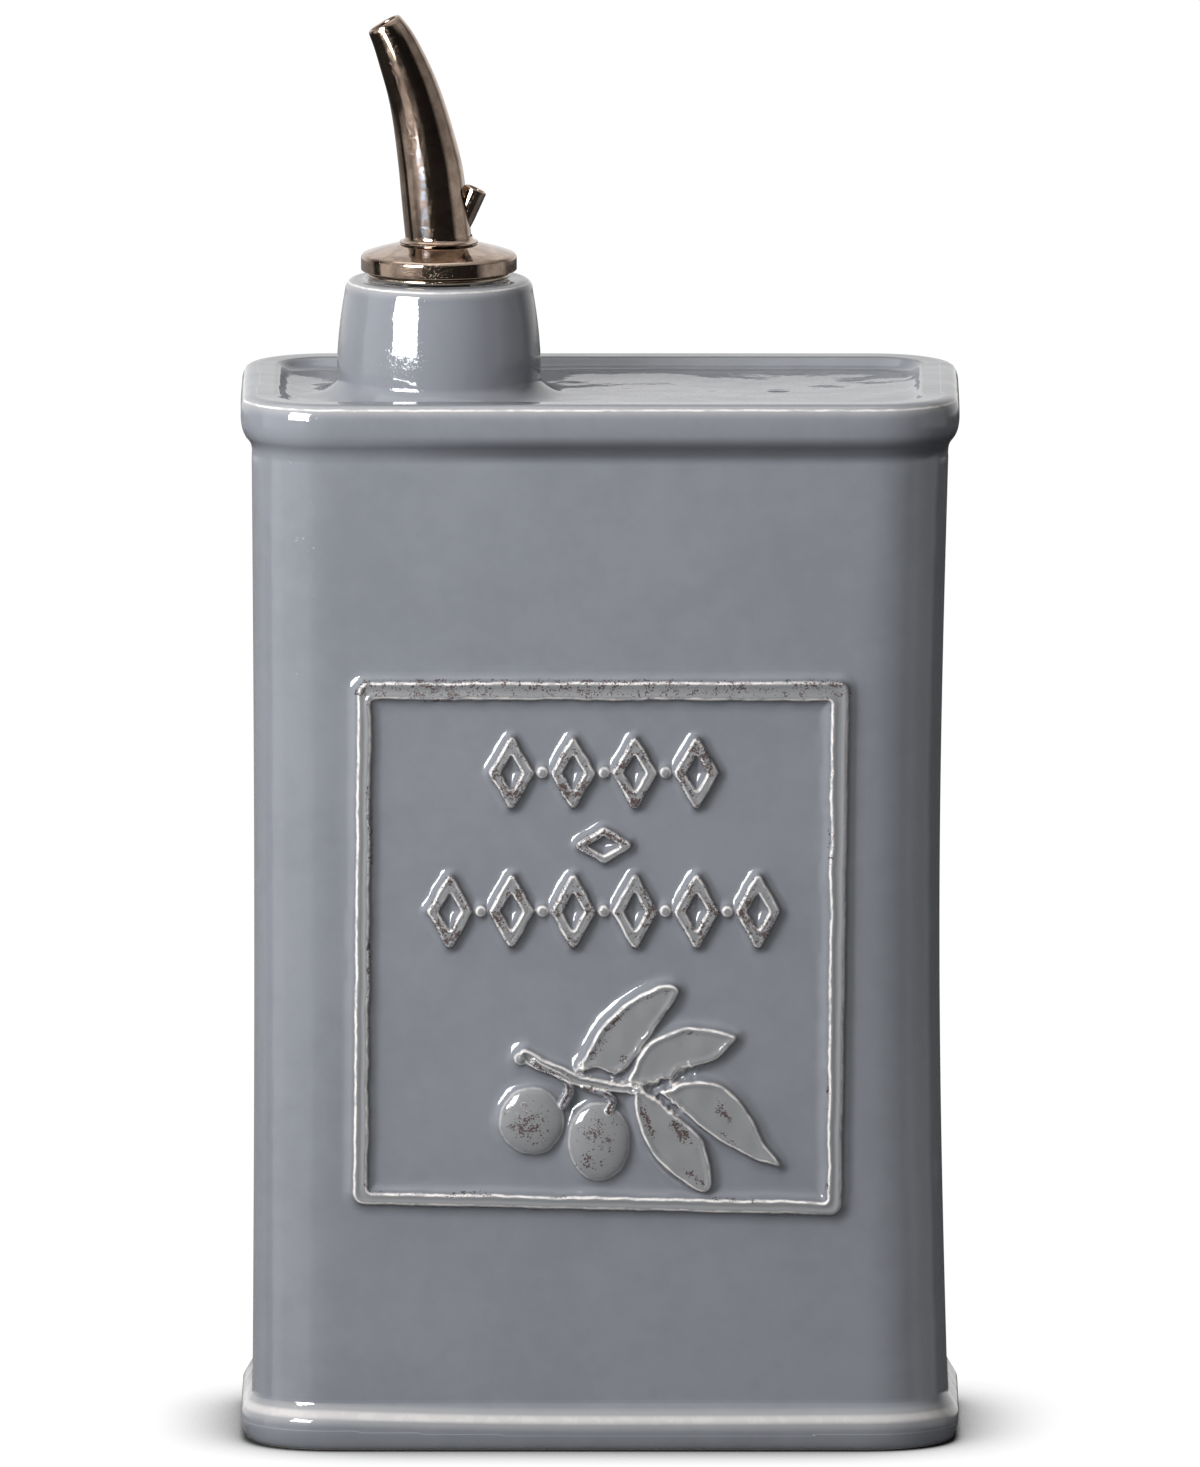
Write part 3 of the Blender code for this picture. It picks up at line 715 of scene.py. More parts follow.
@dataclass(frozen=True)
class OliveSprig:
    """A sprig with a twig, four leaves and two olives on hooked stalks."""

    leaves: tuple[Leaf, ...] = (
        Leaf((
            (-4.2, 73.8), (-3.0, 76.4), (-1.6, 79.2), (0.3, 82.4), (2.7, 84.8), (5.5, 87.1),
            (8.6, 89.0), (11.4, 90.2), (13.5, 90.4), (15.0, 89.5), (14.5, 87.8), (13.1, 85.7),
            (11.4, 83.2), (9.8, 80.6), (8.3, 78.9), (6.9, 76.6), (4.8, 74.3), (2.4, 73.4),
            (-0.7, 74.4),
        )),
        Leaf((
            (5.5, 71.7), (6.6, 74.3), (7.4, 76.4), (8.6, 78.3), (10.7, 79.9), (13.5, 81.3),
            (16.6, 82.2), (19.7, 82.0), (22.9, 81.5), (26.0, 80.3), (25.1, 78.7), (23.5, 77.1),
            (21.1, 75.6), (18.0, 74.7), (15.2, 74.0), (13.8, 72.2), (11.4, 71.9), (9.0, 71.2),
        )),
        Leaf((
            (11.4, 69.9), (13.5, 70.3), (15.6, 71.3), (18.3, 71.9), (21.5, 71.5), (23.9, 70.5),
            (26.0, 68.7), (27.7, 66.6), (29.1, 64.2), (30.5, 61.4), (32.2, 58.6), (34.4, 55.4),
            (32.2, 55.8), (29.8, 56.6), (27.4, 57.9), (24.9, 59.1), (22.9, 60.3), (20.8, 61.9),
            (18.3, 63.8), (15.6, 66.3), (13.1, 68.4),
        )),
        Leaf((
            (6.9, 69.9), (6.7, 68.0), (6.8, 65.9), (7.3, 63.8), (8.3, 61.0), (10.0, 57.9),
            (12.1, 55.4), (14.2, 53.5), (16.6, 51.9), (18.7, 50.7), (20.4, 50.4), (21.3, 51.9),
            (21.1, 55.1), (20.4, 57.9), (19.6, 60.3), (18.0, 62.1), (16.3, 63.6), (13.5, 65.7),
            (11.8, 67.5), (9.7, 69.1),
        )),
    )
    leaf_rise: float = 0.0019
    olives: tuple[Olive, ...] = (
        Olive((-0.0131, 0.0640), 0.0125, 0.0132),
        Olive((-0.0002, 0.0600), 0.0120, 0.0152),
        Olive((-0.0153, 0.0760), 0.0026, 0.0026, 0.0019, 1.0),
    )
    twig: Stroke = Stroke(
        ((-14.4, 76.6), (-10.8, 74.8), (-7.3, 73.3), (-4.5, 72.0), (-1.1, 71.2), (3.1, 70.5), (7.6, 69.9)),
        (0.0013, 0.0008),
        0.0017,
        0.0004,
    )
    stalks: tuple[Stroke, ...] = tuple(
        Stroke(marks, (0.0006, 0.0009), 0.0021, 0.0004)
        for marks in (
            ((-12.5, 75.7), (-9.3, 73.6), (-6.5, 71.9), (-5.8, 69.8), (-7.0, 67.2)),
            ((-3.3, 70.7), (0.3, 69.6), (2.3, 68.0), (1.7, 66.0)),
        )
    )
    highest: float = 0.00218
    edge: GlazedEdge = GlazedEdge()
    stains: tuple[tuple[float, float, float, float, float, float], ...] = (
        (-0.0002, 0.0788, 0.0036, 0.0011, 58.0, 1.0),
        (0.0027, 0.0832, 0.0034, 0.0010, 44.0, 1.0),
        (0.0048, 0.0757, 0.0020, 0.0012, 45.0, 0.85),
        (0.0098, 0.0878, 0.0046, 0.0009, 26.0, 0.55),
        (0.0166, 0.0812, 0.0020, 0.0008, 0.0, 0.85),
        (0.0140, 0.0785, 0.0040, 0.0018, 20.0, 0.35),
        (0.0232, 0.0663, 0.0028, 0.0013, -42.0, 0.95),
        (0.0250, 0.0600, 0.0040, 0.0010, -35.0, 0.55),
        (0.0090, 0.0640, 0.0046, 0.0009, -70.0, 0.95),
        (0.0156, 0.0618, 0.0050, 0.0014, -52.0, 1.0),
        (0.0180, 0.0530, 0.0032, 0.0010, -42.0, 1.0),
        (-0.0134, 0.0636, 0.0052, 0.0056, 0.0, 0.80),
        (-0.0006, 0.0602, 0.0050, 0.0066, 0.0, 0.72),
        (-0.0026, 0.0560, 0.0026, 0.0022, 0.0, 0.90),
        (-0.0105, 0.0738, 0.0040, 0.0007, -28.0, 1.0),
        (0.0004, 0.0705, 0.0030, 0.0006, -12.0, 0.7),
    )
    rough_patches: tuple[tuple[float, float, float], ...] = (
        (-0.0030, 0.0738, 0.0020), (0.0030, 0.0726, 0.0022), (0.0085, 0.0715, 0.0026),
        (0.0128, 0.0722, 0.0026), (0.0170, 0.0738, 0.0024), (0.0110, 0.0695, 0.0026),
        (0.0142, 0.0668, 0.0022), (-0.0152, 0.0760, 0.0016), (0.0060, 0.0700, 0.0016),
    )
    middle: Point = (0.0090, 0.0700)
    reach: float = 0.0300
    sway: float = 0.00011
    scallop: float = 0.00030
    lumps: float = 0.00007
    groove_run: Point = (0.0004, 0.0010)
    stalk_groove_run: Point = (0.0004, 0.0008)
    stalk_base: float = 0.0012
    olive_base_share: float = 0.45

    def press(self, panel: PanelMap) -> None:
        """Raises the sprig on the panel.

        Args:
            panel: The panel's map.
        """
        for patch in self.stains:
            panel.add_stain(*patch)
        for x, z, radius in self.rough_patches:
            distance = np.linalg.norm(panel.points - np.array((x, z)), axis=1)
            panel.rough = np.maximum(panel.rough, 1.0 - smooth_step(distance, radius * 0.5, radius * 1.2))
        where = panel.near(self.middle, self.reach)
        points = panel.points[where]
        sway = self.sway * np.column_stack([ripple(points, 0.0048, 1.0), ripple(points, 0.0052, 5.0)])
        ragged = self.scallop * panel.rough[where] * ripple(points, 0.0016, 3.0)
        points = points + sway
        lumps = self.lumps * ripple(points, 0.0050, 7.0)
        for leaf in self.leaves:
            gap = outline_gap(points, leaf.outline()) + ragged
            height = self.edge.height(gap, self.leaf_rise) + np.where(gap < 0.0, lumps, 0.0)
            panel.raise_shape(where, gap, height)
        gap = self.twig.gap(points) + ragged
        groove = self.twig.groove * smooth_step(-gap, *self.groove_run)
        panel.raise_shape(where, gap, self.edge.height(gap, self.twig.rise) - groove, 0.85)
        for olive in self.olives:
            self._raise_olive(panel, where, points, olive)
        for stalk in self.stalks:
            gap = stalk.gap(points)
            depth = np.clip(-gap / stalk.radii[1], 0.0, 1.0)
            crown = np.sqrt(2 * depth - depth**2)
            height = np.where(gap < 0.0, self.stalk_base + (stalk.rise - self.stalk_base) * crown, 0.0)
            height -= stalk.groove * smooth_step(-gap, *self.stalk_groove_run)
            panel.raised[where] = np.maximum(panel.raised[where], height)
            panel.stalk_gap[where] = np.minimum(panel.stalk_gap[where], gap)
            panel.stain[where] = np.maximum(panel.stain[where], np.where(gap < -0.0003, 0.95, 0.0))

    def _raise_olive(self, panel: PanelMap, where: np.ndarray, points: np.ndarray, olive: Olive) -> None:
        """Raises one olive as a dome.

        Args:
            panel: The panel's map.
            where: The points that it may touch.
            points: Those points, swayed.
            olive: The olive.
        """
        offset = points - np.array(olive.centre)
        half_width, half_height = olive.width / 2, olive.height / 2
        ring = np.hypot(offset[:, 0] / half_width, offset[:, 1] / half_height)
        slope = np.hypot(offset[:, 0] / half_width**2, offset[:, 1] / half_height**2) / np.maximum(ring, TINY)
        gap = np.where(ring < 0.05, -half_width, (ring - 1.0) / np.maximum(slope, TINY))
        dome = np.sqrt(np.clip(1.0 - ring**2, 0.0, 1.0))
        base_rise = olive.rise * self.olive_base_share
        base = self.edge.height(np.maximum(gap, 0.0), base_rise)
        foot = self.edge.height(np.zeros(1), base_rise)[0]
        panel.raise_shape(where, gap, base + (olive.rise - foot) * dome * (gap < 0.0), olive.crest)


@dataclass(frozen=True)
class ReliefPanel:
    """Everything that stands proud of the front panel."""

    frame: PanelFrame = PanelFrame()
    rows: tuple[OrnamentRow, ...] = (
        OrnamentRow(z=0.1314, count=4, width=0.0084, height=0.0134),
        OrnamentRow(z=0.1174, count=1, width=0.0104, height=0.0068, band=0.0013),
        OrnamentRow(z=0.1046, count=6, width=0.0084, height=0.0140),
    )
    sprig: OliveSprig = OliveSprig()

    def map_points(self, points: np.ndarray) -> PanelMap:
        """Works the relief out.

        Args:
            points: The points, as x and z.

        Returns:
            The panel's map at those points.
        """
        panel = PanelMap(points)
        self.frame.press(panel)
        for row in self.rows:
            row.press(panel)
        self.sprig.press(panel)
        return panel


# Ceramic can


@dataclass(frozen=True)
class Station:
    """One ring of the can's wall: how far outside the wall it lies, how high, and how hand-made it is."""

    outward: float
    z: float
    sag: float = 0.0
    sway: float = 0.0
    lift: float = 0.0


@dataclass
class GlazedCan:
    """The ceramic can: one closed skin from the foot over rim, tray and neck into the oil space."""

    width: float = 0.1334
    depth: float = 0.0720
    corner_radius: float = 0.0145
    height: float = 0.2024
    wall: float = 0.0045
    floor_z: float = 0.0066
    ceiling_z: float = 0.1951
    left_sag: float = 0.0004
    right_sag: float = 0.0016
    rim_marks: tuple[Point, ...] = (
        (0.0, -0.0120), (0.00006, -0.0106), (0.00025, -0.0096), (0.00075, -0.0087), (0.00145, -0.0078),
        (0.00192, -0.0066), (0.00215, -0.0052), (0.0022, -0.0038), (0.0021, -0.0024), (0.00178, -0.0013),
        (0.0012, -0.0005), (0.0004, -0.00012), (-0.0006, 0.0), (-0.0024, -0.00003), (-0.0040, -0.00006),
    )
    tray_start: float = 0.0040
    tray_marks: tuple[Point, ...] = (
        (0.0, 0.0), (0.0004, 0.02), (0.0009, 0.10), (0.0014, 0.27), (0.0019, 0.49),
        (0.0025, 0.69), (0.0033, 0.84), (0.0044, 0.94), (0.0062, 1.0),
    )
    deck_lift: float = 0.0006
    deck_dish: float = 0.0180
    foot_marks: tuple[Point, ...] = (
        (-0.0012, 0.0), (-0.0004, 0.00002), (0.0004, 0.00020), (0.0011, 0.00075), (0.0016, 0.0016),
        (0.00195, 0.0026), (0.00214, 0.0035), (0.0022, 0.0045), (0.002185, 0.0051), (0.00214, 0.0055),
        (0.00206, 0.0058), (0.00193, 0.0061), (0.00141, 0.0070), (0.00082, 0.0080), (0.00024, 0.0090),
        (0.00013, 0.0093), (0.00006, 0.0096), (0.00002, 0.0099), (0.0, 0.0105),
    )
    foot_crest_z: float = 0.0061
    crest_lift: Point = (0.0010, 0.0002)
    sway: float = 0.00014
    foot_ring_width: float = 0.0075
    foot_ring_edge: float = 0.0003
    foot_recess: float = 0.0016
    deck_z: float = 0.1996
    neck_x: float = -0.0309
    neck_top_z: float = 0.2219
    neck_top_radius: float = 0.0180
    neck_foot_radius: float = 0.0196
    neck_edge: float = 0.0022
    neck_marks: tuple[Point, ...] = (
        (0.0050, 0.0), (0.0037, 0.00018), (0.0026, 0.00055), (0.0017, 0.00105), (0.0010, 0.0016),
        (0.0005, 0.00215), (0.00018, 0.0027), (0.00003, 0.0032), (0.0, 0.0036),
    )
    neck_curve: float = 1.9
    neck_rows: int = 14
    bore_radius: float = 0.0105
    bore_edge: float = 0.0006
    bore_start: float = 0.0040
    bore_rows: int = 4
    deck_rows: int = 10
    inside_rows: int = 7
    rim_line: Point = (0.00160, 0.00085)
    neck_line: float = 0.00060
    foot_line: Point = (0.30, 0.13)
    tray_line: float = 0.0006
    rim_zone: Point = (0.0040, 0.0012)
    neck_zone: Point = (0.0045, 0.0030)
    foot_zone: Point = (0.0045, 0.0001)
    tray_zone: Point = (0.0020, 0.0100)
    tray_slack: float = 0.0001
    front_cells: int = 61
    side_cells: int = 14
    back_cells: int = 20
    corner_cells: int = 10
    wall_cell: float = 0.00171
    relief_cuts: int = 4
    relief_margin: float = 0.0024
    relief: ReliefPanel = field(default_factory=ReliefPanel)

    @property
    def wall_ends(self) -> Point:
        """The heights at which the plain wall starts and ends."""
        return self.foot_marks[-1][1], self.height + self.rim_marks[0][1]

    @property
    def half_flat(self) -> np.ndarray:
        """Half the width and half the depth between the rounded corners."""
        return np.array((self.width / 2, self.depth / 2)) - self.corner_radius

    def wall_gap(self, places: np.ndarray) -> np.ndarray:
        """How far outside the wall's outline points lie, below zero inside it.

        Args:
            places: The points, as x and y.

        Returns:
            One distance for each point.
        """
        beyond = np.abs(places) - self.half_flat
        return np.hypot(*np.maximum(beyond, 0.0).T) + np.minimum(beyond.max(1), 0.0) - self.corner_radius

    def start_ring(self, bm: BMesh) -> list[bmesh.types.BMEdge]:
        """Makes the rounded outline of the wall.

        Args:
            bm: The mesh that takes it.

        Returns:
            The outline's edges.
        """
        bmesh.ops.create_grid(bm, x_segments=1, y_segments=1, size=0.5)
        bmesh.ops.scale(bm, vec=(self.width, self.depth, 1.0), verts=bm.verts[:])
        bmesh.ops.bevel(
            bm,
            geom=bm.verts[:],
            offset=self.corner_radius,
            segments=self.corner_cells,
            profile=0.5,
            affect="VERTICES",
            material=-1,
        )
        bmesh.ops.delete(bm, geom=bm.faces[:], context="FACES_ONLY")
        straight = [edge for edge in bm.edges if edge.calc_length() > self.corner_radius]
        for edge in straight:
            middle = (edge.verts[0].co + edge.verts[1].co) / 2
            if abs(middle.x) > abs(middle.y):
                cells = self.side_cells
            else:
                cells = self.front_cells if middle.y < 0.0 else self.back_cells
            bmesh.ops.subdivide_edges(bm, edges=[edge], cuts=cells - 1)
        return bm.edges[:]

    def rim_profile(self) -> list[Station]:
        """The stations of the rolled rim, its flat top and the tray's soft wall.

        Returns:
            The stations from the wall inwards.
        """
        top = self.height
        roll = smooth_line([(outward, top + drop) for outward, drop in self.rim_marks], 3)[1:]
        drop = self.deck_z - top - self.rim_marks[-1][1]
        tray = [
            Station(-self.tray_start - inward, self.deck_z - drop * (1.0 - fall), sway=1.0, lift=fall)
            for inward, fall in smooth_line(self.tray_marks, 2)[1:]
        ]
        return [Station(outward, z, sway=1.0) for outward, z in roll] + tray

    def foot_profile(self) -> list[Station]:
        """The stations of the foot: rolled under below its crest, and flared above it.

        Returns:
            The stations from below upwards.
        """
        line = smooth_line(self.foot_marks, 3)
        sways = smooth_step(line[:, 1], 0.0002, 0.0030) * smooth_step(line[:, 1], 0.0105, 0.0085)
        return [Station(outward, z, sway=sway) for (outward, z), sway in zip(line, sways)]

    def neck_profile(self) -> list[Point]:
        """The neck's profile, as radius and height, from the deck up and down into the bore.

        Returns:
            The profile's points.
        """
        marks = smooth_line(self.neck_marks, 3)
        foot = [(self.neck_foot_radius + outward, self.deck_z + max(up, 0.0)) for outward, up in marks]
        foot_top = foot[-1][1]
        lip_z = self.neck_top_z - self.neck_edge
        taper = self.neck_top_radius - self.neck_foot_radius
        wall = []
        for row in range(1, self.neck_rows):
            share = row / self.neck_rows
            radius = self.neck_foot_radius + taper * share**self.neck_curve
            wall.append((radius, foot_top + (lip_z - foot_top) * share))
        lip_centre = (self.neck_top_radius - self.neck_edge, lip_z)
        lip = ellipse_arc(lip_centre, (self.neck_edge, self.neck_edge), 0.0, 90.0, 12, 2.2)
        mouth_centre = (self.bore_radius + self.bore_edge, self.neck_top_z - self.bore_edge)
        mouth = ellipse_arc(mouth_centre, (-self.bore_edge, self.bore_edge), 90.0, 0.0, 5)
        return foot + wall + lip + mouth

    def deck_rise(self, places: np.ndarray) -> np.ndarray:
        """How far the deck rises towards the tray's walls, away from the neck.

        Args:
            places: Points on the deck, as x and y.

        Returns:
            One height for each point.
        """
        inward = -self.wall_gap(places) - self.tray_start - self.tray_marks[-1][0]
        neck_gap = np.hypot(places[:, 0] - self.neck_x, places[:, 1]) - self.neck_foot_radius
        dish = (1.0 - np.clip(inward / self.deck_dish, 0.0, 1.0)) ** 2
        return self.deck_lift * dish * smooth_step(neck_gap, 0.006, 0.018)

    def build_mesh(self) -> BMesh:
        """Stacks the can's rings into one closed skin.

        Returns:
            The skin before its relief.
        """
        bm = bmesh.new()
        column = bm.verts.layers.int.new("column")
        stack = RingStack(bm, column, self.start_ring(bm))
        outline = np.array([vert.co[:2] for vert in stack.verts])
        half = self.half_flat
        pivots = np.clip(outline, -half, half)
        normals = (outline - pivots) / np.linalg.norm(outline - pivots, axis=1)[:, None]
        right_share = np.clip(pivots[:, 0] / half[0], 0.0, 1.0)
        left_share = np.clip(-pivots[:, 0] / half[0], 0.0, 1.0)
        sway = self.sway * (0.5 + 0.5 * np.clip(ripple(outline, 0.045, 2.0), -1.0, 1.0))

        def ring(station: Station) -> np.ndarray:
            """The places of one ring of the wall.

            Args:
                station: The ring's station.

            Returns:
                One place for each column.
            """
            flat = pivots + normals * (self.corner_radius + station.outward - station.sway * sway)[:, None]
            flat[:, 0] += station.sag * (self.left_sag * left_share - self.right_sag * right_share)
            return np.column_stack([flat, station.z + station.lift * self.deck_rise(flat)])

        for vert, place in zip(stack.verts, ring(Station(-self.foot_ring_width, self.foot_recess))):
            vert.co = place
        stack.cap()
        stack.extrude_to(ring(Station(-self.foot_ring_width, self.foot_ring_edge)))
        stack.extrude_to(ring(Station(self.foot_ring_edge - self.foot_ring_width, 0.0)))
        for station in self.foot_profile():
            stack.extrude_to(ring(station))
        foot_top, rim_bottom = self.wall_ends
        rows = round((rim_bottom - foot_top) / self.wall_cell)
        for row in range(1, rows + 1):
            share = row / rows
            z = foot_top + (rim_bottom - foot_top) * share
            stack.extrude_to(ring(Station(0.0, z, math.sin(math.pi * share))))
        rim = self.rim_profile()
        for station in rim:
            stack.extrude_to(ring(station))
        deck_edge = ring(rim[-1])
        angles = np.arctan2(deck_edge[:, 1], deck_edge[:, 0] - self.neck_x)

        def circle(radius: float, z: float) -> np.ndarray:
            """The places of one ring of the neck."""
            x, y = self.neck_x + radius * np.cos(angles), radius * np.sin(angles)
            return np.column_stack([x, y, np.full(len(angles), z)])

        profile = self.neck_profile()
        for share in np.linspace(0.0, 1.0, self.deck_rows + 1)[1:-1]:
            deck = deck_edge + (circle(*profile[0]) - deck_edge) * share
            deck[:, 2] = self.deck_z + self.deck_rise(deck[:, :2])
            stack.extrude_to(deck)
        for radius, z in profile:
            stack.extrude_to(circle(radius, z))
        for z in np.linspace(self.neck_top_z - self.bore_start, self.ceiling_z, self.bore_rows):
            stack.extrude_to(circle(self.bore_radius, z))
        inner_top = ring(Station(-self.wall, self.ceiling_z))
        stack.extrude_to((circle(self.bore_radius, self.ceiling_z) + inner_top) / 2)
        for share in np.linspace(0.0, 1.0, self.inside_rows):
            z = self.ceiling_z + (self.floor_z - self.ceiling_z) * share
            stack.extrude_to(ring(Station(-self.wall, z, math.sin(math.pi * share))))
        stack.cap()
        return bm

    def refine_relief(self, bm: BMesh) -> None:
        """Divides the front panel's cells wherever the relief touches them.

        Args:
            bm: The can's mesh.
        """
        front = -self.depth / 2
        faces = [
            face
            for face in bm.faces
            if len(face.verts) == 4 and all(abs(vert.co.y - front) < TINY for vert in face.verts)
        ]
        centres = np.array([face.calc_center_median()[:] for face in faces])[:, (0, 2)]
        near = self.relief.map_points(centres).gap < self.relief_margin
        edges = {edge for face, chosen in zip(faces, near) if chosen for edge in face.edges}
        bmesh.ops.subdivide_edges(bm, edges=list(edges), cuts=self.relief_cuts, use_grid_fill=True)

    def raise_relief(self, mesh: bpy.types.Mesh) -> None:
        """Moves the front panel's vertices out by the relief and stores what the glaze needs.

        Args:
            mesh: The can's mesh.
        """
        places = np.empty(len(mesh.vertices) * 3)
        mesh.vertices.foreach_get("co", places)
        places = places.reshape(-1, 3)
        foot_top, rim_bottom = self.wall_ends
        flat = np.abs(places[:, 1] + self.depth / 2) < TINY
        front = flat & (places[:, 2] > foot_top) & (places[:, 2] < rim_bottom)
        panel = self.relief.map_points(places[front][:, (0, 2)])
        height = np.minimum(panel.raised, self.relief.sprig.highest)
        places[front, 1] -= height
        mesh.vertices.foreach_set("co", places.ravel())
        fields = {
            "relief_gap": (panel.gap / MILLIMETRE, FAR_GAP / MILLIMETRE),
            "crest_strength": (panel.crest, 0.0),
            "relief_height": (height / MILLIMETRE, 0.0),
            "stalk_gap": (panel.stalk_gap / MILLIMETRE, FAR_GAP / MILLIMETRE),
            "stain": (panel.stain, 0.0),
            "rough_patch": (panel.rough, 0.0),
        }
        for name, (values, elsewhere) in fields.items():
            store = np.full(len(places), elsewhere)
            store[front] = values
            self.store_field(mesh, name, store)
        self.mark_edges(mesh, places)

    @staticmethod
    def store_field(mesh: bpy.types.Mesh, name: str, values: np.ndarray) -> None:
        """Stores one number for each vertex, for the glaze to read."""
        mesh.attributes.new(name, "FLOAT", "POINT").data.foreach_set("value", values)

    def mark_edges(self, mesh: bpy.types.Mesh, places: np.ndarray) -> None:
        """Stores each vertex's distance to the pale lines on rim, neck and foot, and to the tray's line.

        Args:
            mesh: The can's mesh.
            places: Its vertices.
        """
        x, y, z = places.T
        half = self.half_flat
        beyond = np.maximum(np.abs(places[:, :2]) - half, 0.0)
        outward = np.hypot(*beyond.T) - self.corner_radius
        neck = np.hypot(x - self.neck_x, y)
        rim_edge = (outward - self.rim_line[0]) - (z - (self.height - self.rim_line[1]))
        line_radius, line_z = self.neck_top_radius - self.neck_line, self.neck_top_z - self.neck_line
        neck_edge = (neck - line_radius) - (z - line_z)
        left_share, right_share = np.clip(-x / half[0], 0.0, 1.0), np.clip(x / half[0], 0.0, 1.0)
        foot_z = self.foot_crest_z + self.crest_lift[0] * left_share**2 + self.crest_lift[1] * right_share**2
        above = z - foot_z
        foot_edge = above * (self.foot_line[0] + self.foot_line[1] * (above / MILLIMETRE) ** 2)
        rim_zone = (z > self.height - self.rim_zone[0]) & (outward > -self.rim_zone[1])
        neck_zone = (z > self.neck_top_z - self.neck_zone[0]) & (neck > self.bore_radius + self.neck_zone[1])
        foot_zone = (np.abs(foot_edge) < self.foot_zone[0]) & (outward > self.foot_zone[1])
        zones, gaps = (rim_zone, neck_zone, foot_zone), (rim_edge, neck_edge, foot_edge)
        edge = np.select(zones, gaps, FAR_GAP) / MILLIMETRE
        tray_zone = (outward < -self.tray_zone[0]) & (outward > -self.tray_zone[1])
        tray_zone &= (z > self.deck_z - self.tray_slack) & (z < self.height + self.tray_slack)
        tray_zone &= neck > self.neck_foot_radius + self.neck_marks[0][0]
        tray = np.where(tray_zone, outward + self.tray_start + self.tray_line, FAR_GAP) / MILLIMETRE
        self.store_field(mesh, "edge_gap", edge)
        self.store_field(mesh, "tray_gap", tray)

    def build(self, glaze: Material) -> bpy.types.Object:
        """Builds and dresses the can.

        Args:
            glaze: Its material.

        Returns:
            The can's object.
        """
        bm = self.build_mesh()
        self.refine_relief(bm)
        item = Piece("glazed_can", Body.CAN, Slot.GLAZE, ("can_body",)).finish(bm, glaze, 55.0)
        self.raise_relief(item.data)
        return item


# Stopper and pourer


@dataclass
class RibbedStopper:
    """The soft stopper with its fins, and the thin ring that seats on the neck."""

    axis_x: float = -0.0309
    bottom_z: float = 0.1979
    length: float = 0.0240
    core_radius: float = 0.0082
    fin_radius: float = 0.0102
    fin_count: int = 5
    fin_start_share: float = 0.30
    fin_root_share: float = 0.34
    fin_tip: float = 0.0007
    fin_edge: float = 0.0002
    fin_lean: float = 0.00024
    fin_fillets: Point = (0.0006, 0.0005)
    chamfer: float = 0.0006
    bore_radius: float = 0.0063
    ring_radius: float = 0.0138
    ring_thickness: float = 0.0010
    ring_z: float = 0.2222

    def sleeve_profile(self) -> list[Point]:
        """The stopper's closed profile, with fins that lean upwards.

        Returns:
            The profile's points, as radius and height.
        """
        pitch = self.length / self.fin_count
        root = pitch * self.fin_root_share
        core, bore, fin = self.core_radius, self.bore_radius, self.fin_radius
        profile = [(bore, 0.0), (core - self.chamfer, 0.0), (core, self.chamfer)]
        for number in range(self.fin_count):
            low = pitch * (number + self.fin_start_share)
            tip = low + root * 0.55 + self.fin_lean
            profile += [
                (core, low),
                (core + self.fin_fillets[0], low + root * 0.45),
                (fin - self.fin_edge, tip),
                (fin, tip + self.fin_tip / 2),
                (fin - self.fin_edge, tip + self.fin_tip),
                (core + self.fin_fillets[1], low + root + self.fin_tip * 0.6),
                (core, low + root + self.fin_tip),
            ]
        return profile + [(core, self.length), (bore, self.length)]

    def build(self, rubber: Material, ring_metal: Material) -> None:
        """Builds and dresses the stopper and its ring.

        Args:
            rubber: The stopper's material.
            ring_metal: The ring's material.
        """
        sleeve = turned_mesh(self.sleeve_profile(), self.axis_x, self.bottom_z, 96)
        Piece("ribbed_stopper", Body.STOPPER, Slot.STOPPER, ("stopper_sleeve",)).finish(sleeve, rubber)
        half = self.ring_thickness / 2
        crown = ellipse_arc((self.ring_radius - half, half), (half, half), -90.0, 90.0, 10)
        profile = [(self.bore_radius, 0.0), *crown, (self.bore_radius, self.ring_thickness)]
        ring = turned_mesh(profile, self.axis_x, self.ring_z, 128)
        Piece("seat_washer", Body.STOPPER, Slot.RING_METAL, ("seat_ring",)).finish(ring, ring_metal)


